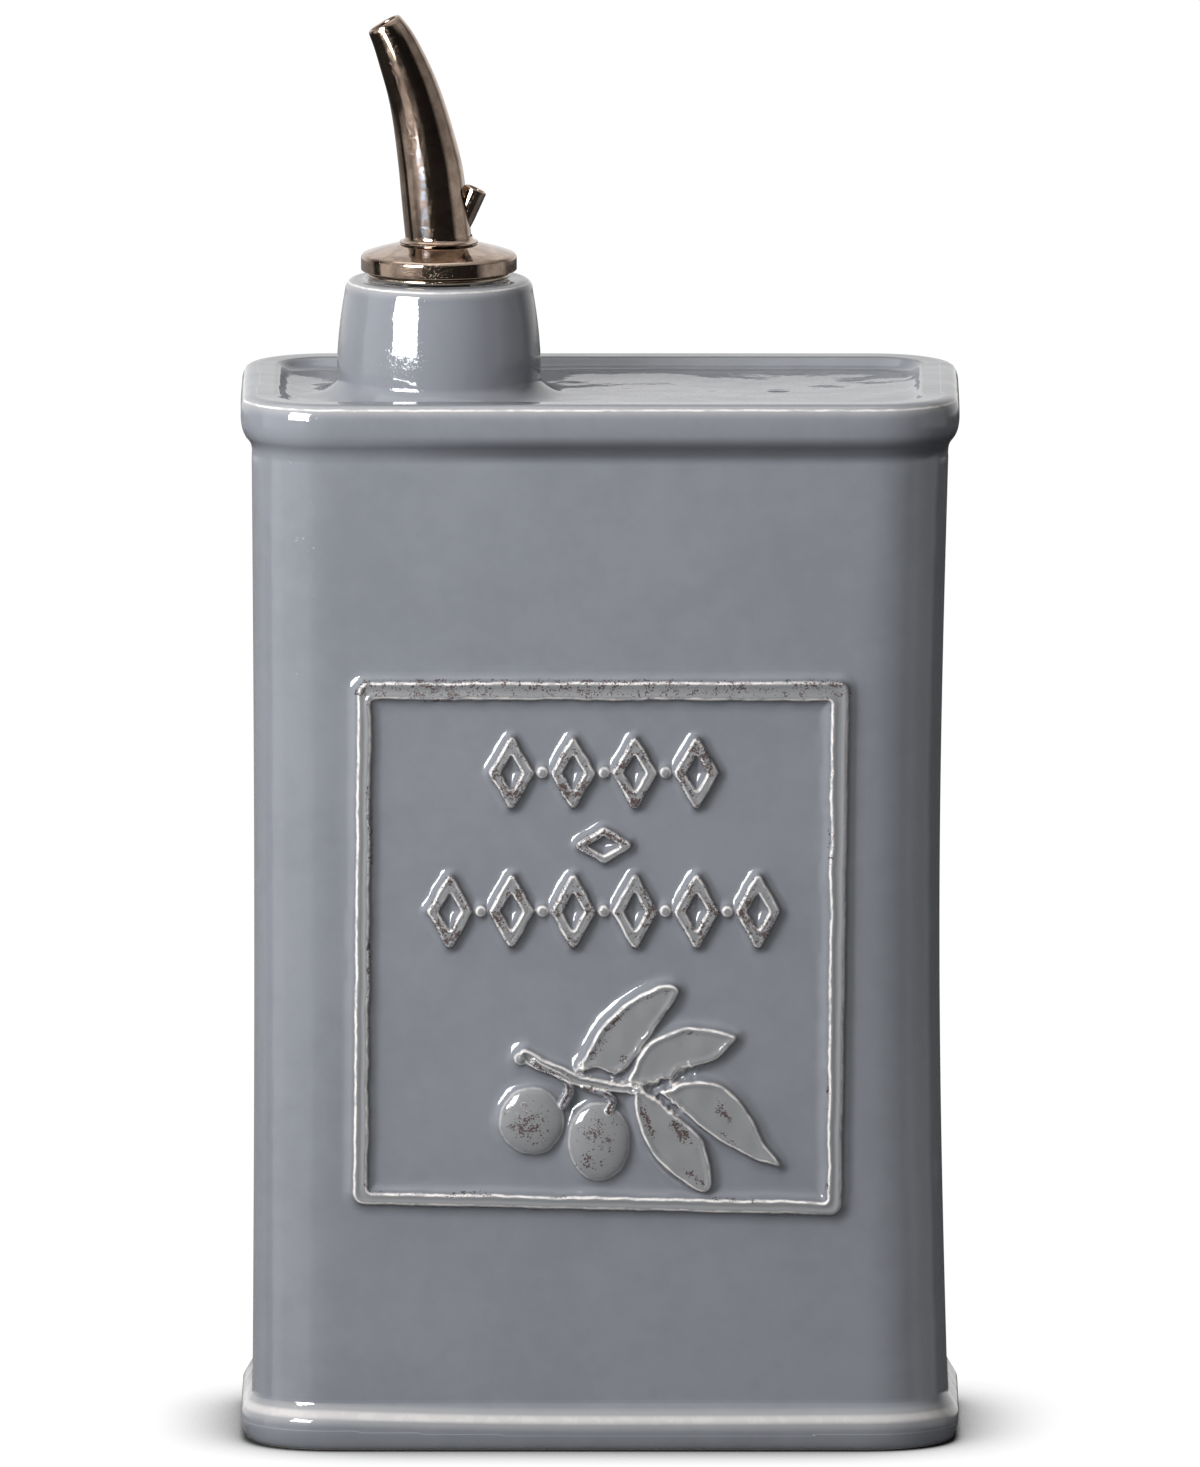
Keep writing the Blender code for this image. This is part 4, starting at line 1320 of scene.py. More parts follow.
@dataclass
class MetalPourer:
    """The metal pourer: stem, domed flange, foot ring, curved spout and breather tube."""

    axis_x: float = -0.0309
    stem_radius: float = 0.0060
    stem_wall: float = 0.0006
    stem_bottom_z: float = 0.1959
    stem_lip_radius: float = 0.0095
    stem_lip: float = 0.0009
    stem_edge: float = 0.00018
    flange_z: float = 0.2235
    flange_radius: float = 0.01495
    band_height: float = 0.0024
    dome_height: float = 0.0027
    dome_top_radius: float = 0.0077
    dome_shares: tuple[Point, ...] = ((0.84, 0.755), (0.70, 0.865))
    dome_brow: float = 0.0010
    band_edge: float = 0.0009
    chamfer: float = 0.0002
    press_gap: float = 0.0003
    hole_radius: float = 0.0066
    recess_radius: float = 0.0098
    collar_z: float = 0.2289
    collar_radius: float = 0.0075
    collar_height: float = 0.0013
    collar_gap: float = 0.0001
    spout_foot_z: float = 0.2247
    spout_foot_radius: float = 0.0063
    spout_tip_radius: float = 0.0034
    spout_wall: float = 0.0007
    spout_rise: float = 0.0423
    spout_reach: float = 0.0106
    spout_line: tuple[tuple[float, float, float], ...] = (
        (0.0, 0.0, 0.0), (0.12, 0.05, 0.0), (0.23, 0.1, 0.03),
        (0.36, 0.165, 0.09), (0.56, 0.325, 0.31), (0.7, 0.475, 0.47),
        (0.83, 0.665, 0.63), (0.92, 0.82, 0.79), (1.0, 1.0, 1.0),
    )
    vent_radius: float = 0.0022
    vent_wall: float = 0.0006
    vent_x: float = 0.0029
    vent_bend_rise: float = 0.0009
    vent_slant_rise: float = 0.0094
    vent_slant: float = 24.3
    vent_bottom_z: float = 0.1799

    def build_stem(self, metal: Material) -> None:
        """Builds the tube that carries the stopper.

        Args:
            metal: Its material.
        """
        top = self.flange_z + self.stem_lip - self.stem_bottom_z
        inner = self.stem_radius - self.stem_wall
        profile = [
            (inner, 0.0),
            (self.stem_radius, 0.0),
            (self.stem_radius, top - self.stem_lip),
            (self.stem_lip_radius, top - self.stem_lip),
            (self.stem_lip_radius, top),
            (inner, top),
        ]
        stem = turned_mesh(profile, self.axis_x, self.stem_bottom_z, 96, self.stem_edge)
        Piece("pourer_stem", Body.POURER, Slot.POURER_METAL, ("stem_tube",)).finish(stem, metal)

    def flange_profile(self) -> list[Point]:
        """The flange's closed profile: recess, band, dome and hole.

        Returns:
            The profile's points, as radius and height.
        """
        rim, edge = self.flange_radius, self.band_edge
        top = self.band_height + self.dome_height
        recess_depth = self.stem_lip + self.press_gap
        shoulder = ellipse_arc((rim - edge, self.band_height), (edge, edge), 0.0, 62.0, 8)
        marks = [(rim * outward, top * up) for outward, up in self.dome_shares]
        marks += [(self.dome_top_radius + self.dome_brow, top * 0.955), (self.dome_top_radius, top)]
        dome = smooth_line([shoulder[-1], *marks], 6)
        band = [(rim - self.chamfer, 0.0), (rim, self.chamfer), (rim, self.band_height * 0.5)]
        recess = [(self.recess_radius, recess_depth), (self.recess_radius, 0.0)]
        hole = [(self.hole_radius + self.chamfer, top), (self.hole_radius, top - self.chamfer)]
        return [(self.hole_radius, recess_depth), *recess, *band, *shoulder, *map(tuple, dome[1:]), *hole]

    def build_flange(self, metal: Material) -> None:
        """Builds the flange and the ring at the spout's foot.

        Args:
            metal: Their material.
        """
        flange = turned_mesh(self.flange_profile(), self.axis_x, self.flange_z, 160)
        Piece("domed_flange", Body.POURER, Slot.POURER_METAL, ("flange_cap",)).finish(flange, metal)
        inner, outer, top = self.spout_foot_radius + self.collar_gap, self.collar_radius, self.collar_height
        skirt = ellipse_arc((outer, top), (inner - outer, -top * 0.85), 90.0, 0.0, 12)
        profile = [(inner, 0.0), (outer, 0.0), *skirt, (inner, top)]
        collar = turned_mesh(profile, self.axis_x, self.collar_z, 128)
        Piece("spout_foot_ring", Body.POURER, Slot.POURER_METAL, ("spout_collar",)).finish(collar, metal)

    def spout_route(self) -> tuple[np.ndarray, np.ndarray]:
        """The spout's centre line and its radius at each point.

        Returns:
            The line, as x and z, and the radii.
        """
        anchors = [
            (self.axis_x - self.spout_reach * reach, self.collar_z + self.spout_rise * rise, taper)
            for rise, reach, taper in self.spout_line
        ]
        line = smooth_line(anchors, 8)
        narrowing = self.spout_foot_radius - self.spout_tip_radius
        route = np.vstack([[(self.axis_x, self.spout_foot_z)], line[:, :2]])
        radii = np.concatenate([[self.spout_foot_radius], self.spout_foot_radius - narrowing * line[:, 2]])
        return route, radii

    def vent_route(self) -> np.ndarray:
        """The breather tube's centre line, from its foot in the can to its slanted mouth.

        Returns:
            The line, as x and z.
        """
        x = self.axis_x + self.vent_x
        bend_z = self.collar_z + self.vent_bend_rise
        mouth_x = x + self.vent_slant_rise * math.tan(math.radians(self.vent_slant))
        middle = ((x + mouth_x) / 2, bend_z + self.vent_slant_rise * 0.5)
        mouth = (mouth_x, bend_z + self.vent_slant_rise)
        upper = smooth_line([(x, self.spout_foot_z), (x, bend_z), middle, mouth], 8)
        heights = np.linspace(self.vent_bottom_z, self.spout_foot_z, 13)[:-1]
        return np.vstack([np.column_stack([np.full(len(heights), x), heights]), upper])

    def build_tubes(self, metal: Material, spout_metal: Material) -> None:
        """Builds the spout and the breather tube.

        Args:
            metal: The breather tube's material.
            spout_metal: The spout's material.
        """
        route, radii = self.spout_route()
        spout = swept_tube(route, radii, self.spout_wall, 96)
        Piece("curved_spout", Body.POURER, Slot.POURER_METAL, ("spout_tube",)).finish(spout, spout_metal)
        vent = self.vent_route()
        tube = swept_tube(vent, np.full(len(vent), self.vent_radius), self.vent_wall, 48)
        Piece("vent_tube", Body.POURER, Slot.POURER_METAL, ("breather_tube",)).finish(tube, metal)

    def build(self, metal: Material, spout_metal: Material) -> None:
        """Builds and dresses the whole pourer.

        Args:
            metal: The pourer's material.
            spout_metal: The spout's more pitted one.
        """
        self.build_stem(metal)
        self.build_flange(metal)
        self.build_tubes(metal, spout_metal)


# Finishes


class NodeBoard:
    """Adds nodes to one node tree and wires them."""

    def __init__(self, tree: bpy.types.NodeTree) -> None:
        """Takes a tree, emptied first.

        Args:
            tree: The node tree.
        """
        self.tree = tree
        tree.nodes.clear()

    def add(self, kind: str, **settings: object) -> bpy.types.Node:
        """Adds a node and sets its properties.

        Args:
            kind: The node's type.
            **settings: Its properties.

        Returns:
            The node.
        """
        node = self.tree.nodes.new(kind)
        for name, value in settings.items():
            setattr(node, name, value)
        return node

    def feed(self, socket: Socket, value: Feed) -> None:
        """Links a socket, or sets its value.

        Args:
            socket: The socket.
            value: Another node's socket, a number or a colour.
        """
        if isinstance(value, Socket):
            self.tree.links.new(value, socket)
        elif isinstance(value, tuple) and len(value) == 3 and socket.type == "RGBA":
            socket.default_value = (*value, 1.0)
        else:
            socket.default_value = value

    def math(self, operation: str, *values: Feed, clamp: bool = False) -> Socket:
        """A Math node's result.

        Args:
            operation: What it does.
            *values: Its inputs.
            clamp: Whether the result is kept between 0 and 1.

        Returns:
            The result.
        """
        node = self.add("ShaderNodeMath", operation=operation, use_clamp=clamp)
        for socket, value in zip(node.inputs, values):
            self.feed(socket, value)
        return node.outputs[0]

    def times(self, *values: Feed) -> Socket:
        """The product of the values."""
        return reduce(lambda total, value: self.math("MULTIPLY", total, value), values)

    def plus(self, *values: Feed) -> Socket:
        """The sum of the values."""
        return reduce(lambda total, value: self.math("ADD", total, value), values)

    def minus(self, value: Feed, less: Feed) -> Socket:
        """The difference of two values."""
        return self.math("SUBTRACT", value, less)

    def most(self, *values: Feed) -> Socket:
        """The largest of the values."""
        return reduce(lambda total, value: self.math("MAXIMUM", total, value), values)

    def step(
        self, value: Feed, low: Feed, high: Feed, start: float = 0.0, end: float = 1.0
    ) -> Socket:
        """A soft step between low and high.

        Args:
            value: What is compared.
            low: Where the step begins.
            high: Where it ends.
            start: The result at low.
            end: The result at high.

        Returns:
            The result.
        """
        node = self.add("ShaderNodeMapRange", interpolation_type="SMOOTHSTEP")
        names = ("Value", "From Min", "From Max", "To Min", "To Max")
        for name, item in zip(names, (value, low, high, start, end)):
            self.feed(node.inputs[name], item)
        return node.outputs["Result"]

    def zone(self, value: Feed, marks: Zone) -> Socket:
        """A soft stretch that begins and ends between its marks."""
        return self.times(self.step(value, marks[0], marks[1]), self.step(value, marks[3], marks[2]))

    def line(self, gap: Feed, full: float, gone: float) -> Socket:
        """A line where a distance passes zero, full to one width and gone at the next."""
        return self.step(self.math("ABSOLUTE", gap), gone, full)

    def blend(self, share: Feed, first: Feed, second: Feed) -> Socket:
        """A mix of two colours.

        Args:
            share: How much of the second colour there is.
            first: The first colour.
            second: The second colour.

        Returns:
            The mix.
        """
        node = self.add("ShaderNodeMix", data_type="RGBA")
        self.feed(node.inputs[0], share)
        self.feed(node.inputs[6], first)
        self.feed(node.inputs[7], second)
        return node.outputs[2]

    def noise(self, vector: Feed, scale: Feed, detail: float = 2.0, rough: float = 0.5) -> Socket:
        """A noise texture's value.

        Args:
            vector: The place.
            scale: How fine the noise is.
            detail: How many octaves it has.
            rough: How strong the fine ones are.

        Returns:
            The value.
        """
        node = self.add("ShaderNodeTexNoise")
        self.feed(node.inputs["Vector"], vector)
        self.feed(node.inputs["Scale"], scale)
        node.inputs["Detail"].default_value = detail
        node.inputs["Roughness"].default_value = rough
        return node.outputs["Fac"]

    def attribute(self, name: str) -> Socket:
        """A stored value of the surface."""
        return self.add("ShaderNodeAttribute", attribute_name=name).outputs["Fac"]

    def bump(
        self, height: Feed, strength: float, distance: float, normal: Feed | None = None
    ) -> Socket:
        """A Bump node's normal.

        Args:
            height: The height.
            strength: How much of it shows.
            distance: How far a height of 1 stands out.
            normal: The normal below it.

        Returns:
            The normal.
        """
        node = self.add("ShaderNodeBump")
        self.feed(node.inputs["Height"], height)
        node.inputs["Strength"].default_value = strength
        node.inputs["Distance"].default_value = distance
        if normal is not None:
            self.feed(node.inputs["Normal"], normal)
        return node.outputs["Normal"]

    def place(self) -> Socket:
        """The place on the object."""
        return self.add("ShaderNodeTexCoord").outputs["Object"]

    def split(self, vector: Feed) -> Sequence[Socket]:
        """The three values of a vector.

        Args:
            vector: The vector.

        Returns:
            The sockets for x, y and z.
        """
        node = self.add("ShaderNodeSeparateXYZ")
        self.feed(node.inputs[0], vector)
        return node.outputs


class SharedEffect(Enum):
    """The effects that more than one material uses."""

    SPECKS = "clustered_specks"
    HAND_GRAIN = "hand_made_grain"


class EffectShelf:
    """Builds each shared effect once."""

    def __init__(self) -> None:
        """Builds the node groups."""
        self.groups = {SharedEffect.SPECKS: self._specks(), SharedEffect.HAND_GRAIN: self._hand_grain()}

    @staticmethod
    def _new_group(
        effect: SharedEffect, inputs: Sequence[str], output: str
    ) -> tuple[NodeBoard, bpy.types.Node, bpy.types.Node]:
        """An empty group with a vector and some numbers as inputs, and one number as output.

        Args:
            effect: The shared effect.
            inputs: The names of its numbers.
            output: The name of its output.

        Returns:
            The group's board and its two end nodes.
        """
        tree = bpy.data.node_groups.new(effect.value, "ShaderNodeTree")
        tree.interface.new_socket(name="Vector", in_out="INPUT", socket_type="NodeSocketVector")
        for label in inputs:
            tree.interface.new_socket(name=label, in_out="INPUT", socket_type="NodeSocketFloat")
        tree.interface.new_socket(name=output, in_out="OUTPUT", socket_type="NodeSocketFloat")
        board = NodeBoard(tree)
        return board, board.add("NodeGroupInput"), board.add("NodeGroupOutput")

    def _specks(self) -> bpy.types.NodeTree:
        """Small broken specks that crowd together where the density is high.

        Returns:
            The node group.
        """
        inputs = ("Scale", "Density", "Softness")
        board, source, target = self._new_group(SharedEffect.SPECKS, inputs, "Mask")
        vector, scale = source.outputs["Vector"], source.outputs["Scale"]
        fine = board.noise(vector, scale, 3.0, 0.65)
        coarse = board.noise(vector, board.times(scale, 0.28), 2.0, 0.5)
        mixed = board.plus(board.times(fine, 0.62), board.times(coarse, 0.38))
        limit = board.minus(0.655, board.times(source.outputs["Density"], 0.19))
        mask = board.step(mixed, limit, board.plus(limit, source.outputs["Softness"]))
        board.feed(target.inputs["Mask"], mask)
        return board.tree

    def _hand_grain(self) -> bpy.types.NodeTree:
        """Slow waves, a fine peel and scattered pits as one height.

        Returns:
            The node group.
        """
        inputs = ("Wave Scale", "Peel Scale", "Peel Share", "Pit Share")
        board, source, target = self._new_group(SharedEffect.HAND_GRAIN, inputs, "Height")
        vector = source.outputs["Vector"]
        wave = board.noise(vector, source.outputs["Wave Scale"], 1.0, 0.4)
        peel = board.noise(vector, source.outputs["Peel Scale"], 2.0, 0.5)
        pit_noise = board.noise(vector, board.times(source.outputs["Peel Scale"], 3.1), 1.0, 0.5)
        pits = board.step(pit_noise, 0.66, 0.74)
        raised = board.plus(wave, board.times(peel, source.outputs["Peel Share"]))
        height = board.minus(raised, board.times(pits, source.outputs["Pit Share"]))
        board.feed(target.inputs["Height"], height)
        return board.tree

    def specks(
        self, board: NodeBoard, place: Feed, scale: float, density: Feed, softness: float
    ) -> Socket:
        """Places the specks in a material.

        Args:
            board: The material's board.
            place: The place on the object.
            scale: How fine the specks are.
            density: How dense they are.
            softness: How soft their edges are.

        Returns:
            Their mask.
        """
        values = {"Vector": place, "Scale": scale, "Density": density, "Softness": softness}
        return self._use(board, SharedEffect.SPECKS, values).outputs["Mask"]

    def grain(
        self, board: NodeBoard, place: Feed, waves: float, peels: float, peel_share: float, pit_share: float
    ) -> Socket:
        """Places the grain in a material.

        Args:
            board: The material's board.
            place: The place on the object.
            waves: How fine its slow waves are.
            peels: How fine its peel is.
            peel_share: How high the peel stands.
            pit_share: How deep the pits are.

        Returns:
            Its height.
        """
        values = {"Vector": place, "Wave Scale": waves, "Peel Scale": peels}
        values |= {"Peel Share": peel_share, "Pit Share": pit_share}
        return self._use(board, SharedEffect.HAND_GRAIN, values).outputs["Height"]

    def _use(self, board: NodeBoard, effect: SharedEffect, values: dict[str, Feed]) -> bpy.types.Node:
        """A group node with its values.

        Args:
            board: The material's board.
            effect: The shared effect.
            values: A value for each of its sockets.

        Returns:
            The node.
        """
        node = board.add("ShaderNodeGroup", node_tree=self.groups[effect])
        for name, value in values.items():
            board.feed(node.inputs[name], value)
        return node


def start_material(name: str) -> tuple[Material, NodeBoard, bpy.types.Node]:
    """An empty material.

    Args:
        name: Its name.

    Returns:
        The material, its board and its Principled shader, which is wired to the output.
    """
    material = bpy.data.materials.new(name)
    material.use_nodes = True
    board = NodeBoard(material.node_tree)
    shader = board.add("ShaderNodeBsdfPrincipled")
    output = board.add("ShaderNodeOutputMaterial")
    board.feed(output.inputs["Surface"], shader.outputs["BSDF"])
    return material, board, shader


@dataclass(frozen=True)
class GlazeFinish:
    """Blue-grey glossy glaze that breaks cream over edges, with iron specks."""

    deep: Colour = (0.124, 0.128, 0.141)
    pale: Colour = (0.135, 0.139, 0.153)
    plateau: Colour = (0.152, 0.151, 0.151)
    thinned: Colour = (0.215, 0.213, 0.215)
    cream: Colour = (0.530, 0.498, 0.472)
    # A painted shade colour, not the glaze's own, for the groove under the rim.
    painted_shade: Colour = (0.050, 0.052, 0.058)
    iron: Colour = (0.038, 0.019, 0.016)
    tray_line: Colour = (0.075, 0.070, 0.052)
    bare_clay: Colour = (0.50, 0.45, 0.38)
    roughness: float = 0.035
    refraction: float = 1.6
    swell: float = 0.00035
    cloud_grain: Grain = (28.0, 3.0, 0.55)
    mottle_grain: Grain = (260.0, 3.0, 0.6)
    wander_grain: Grain = (420.0, 3.0, 0.6)
    wander: float = 0.45
    broken_grain: Grain = (340.0, 4.0, 0.7)
    fading_grain: Grain = (520.0, 2.0, 0.5)
    uneven_grain: Grain = (300.0, 3.0, 0.6)
    clot_grain: Grain = (1100.0, 3.0, 0.6)
    speck_scale: float = 2500.0
    stray_scale: float = 620.0
    plateau_share: float = 0.75
    cream_share: float = 0.88
    veil_share: float = 0.8
    # How much of the painted shade colour goes into the groove under the rim.
    mix_share: float = 0.85
    iron_share: float = 0.85
    tray_share: float = 0.8
    crest_line: Point = (0.06, 0.34)
    crest_inset: float = 0.20
    stalk_line: Point = (0.02, 0.16)
    stalk_inset: float = 0.12
    edge_line: Point = (0.06, 0.46)
    veil_line: Point = (0.0, 2.6)
    tray_width: Point = (0.10, 0.32)
    rough_line: Point = (0.25, 0.75)
    # Where the painted shade under the rim lies, and how it weakens towards the left.
    under_rim_shade_zone: Zone = (0.1904, 0.1928, 0.1944, 0.1968)
    under_rim_shade_fade: Point = (-0.052, -0.012)
    curdle_zone: Zone = (0.2050, 0.2070, 0.2095, 0.2125)
    foot_end: Point = (0.015, 0.020)
    bare_end: Point = (0.00015, 0.00035)
    dimple: Point = (0.0342, 0.0032)
    dimple_radius: float = 0.0026
    deck_start: Point = (0.190, 0.195)

    def build(self, shelf: EffectShelf) -> Material:
        """Builds the glaze.

        Args:
            shelf: The shared effects.

        Returns:
            The material.
        """
        material, board, shader = start_material("blue_grey_glaze")
        place = board.place()
        x, y, z = board.split(place)
        wander = board.times(board.minus(board.noise(place, *self.wander_grain), 0.5), self.wander)
        colour = self._ground(board, place, x, z, wander)
        broken = board.step(board.noise(place, *self.broken_grain), 0.50, 0.58)
        rough_patch = board.times(board.step(board.attribute("rough_patch"), 0.1, 0.7), broken)
        rough_patch = board.times(rough_patch, board.line(board.attribute("relief_gap"), *self.rough_line))
        thin = board.most(*self._pale_lines(board, place, z, wander), rough_patch)
        colour = board.blend(board.times(thin, self.cream_share), colour, self.cream)
        tray = board.line(board.plus(board.attribute("tray_gap"), wander), *self.tray_width)
        colour = board.blend(board.times(tray, self.tray_share), colour, self.tray_line)
        stain = board.attribute("stain")
        dense = shelf.specks(board, place, self.speck_scale, stain, 0.03)
        stray = shelf.specks(board, place, self.stray_scale, -0.55, 0.02)
        iron = board.most(board.times(dense, board.step(stain, 0.05, 0.30)), board.times(stray, 0.5))
        colour = board.blend(board.times(iron, self.iron_share), colour, self.iron)
        bare = board.step(z, self.bare_end[1], self.bare_end[0])
        board.feed(shader.inputs["Base Color"], board.blend(bare, colour, self.bare_clay))
        shader.inputs["IOR"].default_value = self.refraction
        duller = board.most(board.times(iron, 0.20), board.times(bare, 0.55))
        board.feed(shader.inputs["Roughness"], board.plus(duller, self.roughness))
        normal = board.bump(board.attribute("relief_height"), 1.0, self.swell)
        normal = board.bump(shelf.grain(board, place, 85.0, 620.0, 0.06, 0.03), 0.5, 0.0006, normal)
        normal = board.bump(board.most(iron, rough_patch), 0.25, 0.0001, normal)
        clots = board.step(board.noise(place, *self.clot_grain), 0.48, 0.64)
        normal = board.bump(board.times(board.zone(z, self.curdle_zone), clots), 0.3, 0.00003, normal)
        span_x, span_y = board.minus(x, self.dimple[0]), board.minus(y, self.dimple[1])
        reach = board.math("SQRT", board.plus(board.times(span_x, span_x), board.times(span_y, span_y)))
        dent = board.times(board.step(reach, self.dimple_radius, 0.0), board.step(z, *self.deck_start))
        normal = board.bump(board.minus(1.0, dent), 1.0, 0.00035, normal)
        board.feed(shader.inputs["Normal"], normal)
        return material

    def _ground(self, board: NodeBoard, place: Feed, x: Feed, z: Feed, wander: Feed) -> Socket:
        """The glaze's own colour, with its plateaus and its veil by the edges, and a painted shade in the
        groove under the rim.

        Args:
            board: The material's board.
            place: The place on the object.
            x: Its x.
            z: Its height.
            wander: The unevenness of every line, in millimetres.

        Returns:
            The colour.
        """
        cloud = board.times(board.noise(place, *self.cloud_grain), 0.6)
        tone = board.plus(cloud, board.times(board.noise(place, *self.mottle_grain), 0.4))
        colour = board.blend(board.step(tone, 0.38, 0.62), self.deep, self.pale)
        raised = board.step(board.attribute("relief_gap"), -0.20, -0.60)
        colour = board.blend(board.times(raised, self.plateau_share), colour, self.plateau)
        veil = board.line(board.plus(board.attribute("edge_gap"), wander), *self.veil_line)
        colour = board.blend(board.times(veil, self.veil_share), colour, self.thinned)
        # Painted shade: the groove under the rim's roll is darkened, less towards the left, where the lamps
        # reach under the roll.
        under_rim_shade = board.times(board.zone(z, self.under_rim_shade_zone), board.step(x, *self.under_rim_shade_fade, 0.2, 1.0))
        return board.blend(board.times(under_rim_shade, self.mix_share), colour, self.painted_shade)

    def _pale_lines(
        self, board: NodeBoard, place: Feed, z: Feed, wander: Feed
    ) -> tuple[Socket, ...]:
        """The lines where the glaze has thinned.

        Args:
            board: The material's board.
            place: The place on the object.
            z: Its height.
            wander: The unevenness of every line, in millimetres.

        Returns:
            The masks of the relief's crests, of the stalks and of the edges on rim, neck and foot.
        """
        crest = board.plus(board.attribute("relief_gap"), board.plus(wander, self.crest_inset))
        fading = board.step(board.noise(place, *self.fading_grain), 0.30, 0.56, 0.45, 1.0)
        crest = board.times(board.line(crest, *self.crest_line), fading, board.attribute("crest_strength"))
        stalk = board.plus(board.attribute("stalk_gap"), board.plus(wander, self.stalk_inset))
        stalk = board.line(stalk, *self.stalk_line)
        above_foot = board.step(z, *self.foot_end)
        edge = board.plus(board.attribute("edge_gap"), board.times(wander, above_foot))
        edge = board.times(board.line(edge, *self.edge_line), board.step(above_foot, 0.0, 1.0, 0.58, 1.0))
        uneven = board.step(board.noise(place, *self.uneven_grain), 0.32, 0.60, 0.35, 0.9)
        edge = board.times(edge, board.most(uneven, board.step(above_foot, 1.0, 0.0, 0.0, 0.75)))
        return crest, board.times(stalk, 0.7), edge


@dataclass(frozen=True)
class NickelFinish:
    """Polished warm nickel plate with tarnish clouds, fine pits and, on the spout, a worn streak."""

    name: str
    bright: Colour = (0.53, 0.405, 0.32)
    dull: Colour = (0.40, 0.295, 0.23)
    worn: Colour = (0.30, 0.33, 0.38)
    roughness: float = 0.03
    tarnish_grain: Grain = (260.0, 4.0, 0.6)
    wave_scale: float = 240.0
    peel_scale: float = 2400.0
    peel_share: float = 0.12
    pit_share: float = 0.35
    pit_depth: float = 0.00010
    brushed: float = 0.0
    worn_streak: bool = False
    streak_start: Point = (-0.0336, 0.236)
    streak_bend: Point = (0.0405, 5.85)
    streak_width: Point = (0.0017, 0.0010)
    streak_narrowing: Point = (0.232, 0.262)
    streak_side: Point = (-0.0005, -0.0020)
    streak_fade: Point = (0.268, 0.234)

    def build(self, shelf: EffectShelf) -> Material:
        """Builds the plate.

        Args:
            shelf: The shared effects.

        Returns:
            The material.
        """
        material, board, shader = start_material(self.name)
        place = board.place()
        tarnish = board.step(board.noise(place, *self.tarnish_grain), 0.42, 0.62)
        worn = self._streak(board, place, shelf) if self.worn_streak else 0.0
        colour = board.blend(worn, board.blend(tarnish, self.bright, self.dull), self.worn)
        board.feed(shader.inputs["Base Color"], colour)
        shader.inputs["Metallic"].default_value = 1.0
        specks = shelf.specks(board, place, 2600.0, 0.25, 0.08)
        rough = board.plus(board.times(tarnish, 0.03), self.roughness)
        rough = board.plus(rough, board.times(specks, 0.12), board.times(worn, 0.20))
        board.feed(shader.inputs["Roughness"], rough)
        grain = shelf.grain(board, place, self.wave_scale, self.peel_scale, self.peel_share, self.pit_share)
        normal = board.bump(grain, 0.4, self.pit_depth)
        if self.brushed:
            stretch = board.add("ShaderNodeMapping")
            board.feed(stretch.inputs["Vector"], place)
            stretch.inputs["Scale"].default_value = (1.0, 1.0, 0.02)
            hairs = board.noise(stretch.outputs["Vector"], 5200.0, 2.0)
            normal = board.bump(hairs, self.brushed, 0.00006, normal)
        board.feed(shader.inputs["Normal"], normal)
        return material

    def _streak(self, board: NodeBoard, place: Feed, shelf: EffectShelf) -> Socket:
        """The worn streak that runs up the front of the spout, thick below and thin above.

        Args:
            board: The material's board.
            place: The place on the object.
            shelf: The shared effects.

        Returns:
            The streak's mask.
        """
        x, y, z = board.split(place)
        climb = board.most(board.minus(z, self.streak_start[1]), 0.0)
        bend = board.times(climb, board.plus(board.times(climb, self.streak_bend[1]), self.streak_bend[0]))
        offset = board.math("ABSOLUTE", board.minus(board.plus(x, bend), self.streak_start[0]))
        width = board.step(z, *self.streak_narrowing, *self.streak_width)
        strip = board.step(offset, width, board.times(width, 0.2))
        strip = board.times(strip, board.step(y, *self.streak_side))
        density = board.times(strip, board.step(z, *self.streak_fade, 0.1, 1.0))
        return board.times(shelf.specks(board, place, 2900.0, density, 0.09), strip)


@dataclass(frozen=True)
class RubberFinish:
    """Matt black stopper rubber with a faint bloom."""

    dark: Colour = (0.022, 0.022, 0.023)
    bloom: Colour = (0.060, 0.059, 0.057)
    roughness: float = 0.52

    def build(self, shelf: EffectShelf) -> Material:
        """Builds the rubber.

        Args:
            shelf: The shared effects.

        Returns:
            The material.
        """
        material, board, shader = start_material("stopper_rubber")
        place = board.place()
        cloud = board.step(board.noise(place, 180.0, 4.0, 0.6), 0.45, 0.75)
        board.feed(shader.inputs["Base Color"], board.blend(cloud, self.dark, self.bloom))
        board.feed(shader.inputs["Roughness"], board.plus(board.times(cloud, 0.12), self.roughness))
        grain = shelf.grain(board, place, 300.0, 3000.0, 0.5, 0.2)
        board.feed(shader.inputs["Normal"], board.bump(grain, 0.3, 0.0001))
        return material


# Studio


@dataclass(frozen=True)
class Softbox:
    """A soft rectangular lamp, with what it is turned to and what sees it."""

    name: str
    place: Place
    aim: Place
    size: Point
    power: float
    glossy: bool = True
    diffuse: bool = True
    colour: Colour = (0.965, 0.985, 1.0)

    def build(self) -> None:
        """Adds the lamp to the scene."""
        lamp = bpy.data.lights.new(self.name, "AREA")
        lamp.shape = "RECTANGLE"
        lamp.size, lamp.size_y = self.size
        lamp.energy = self.power
        lamp.color = self.colour
        item = bpy.data.objects.new(self.name, lamp)
        item.location = self.place
        item.rotation_euler = (Vector(self.aim) - item.location).to_track_quat("-Z", "Y").to_euler()
        item.visible_glossy, item.visible_diffuse = self.glossy, self.diffuse
        bpy.context.scene.collection.objects.link(item)


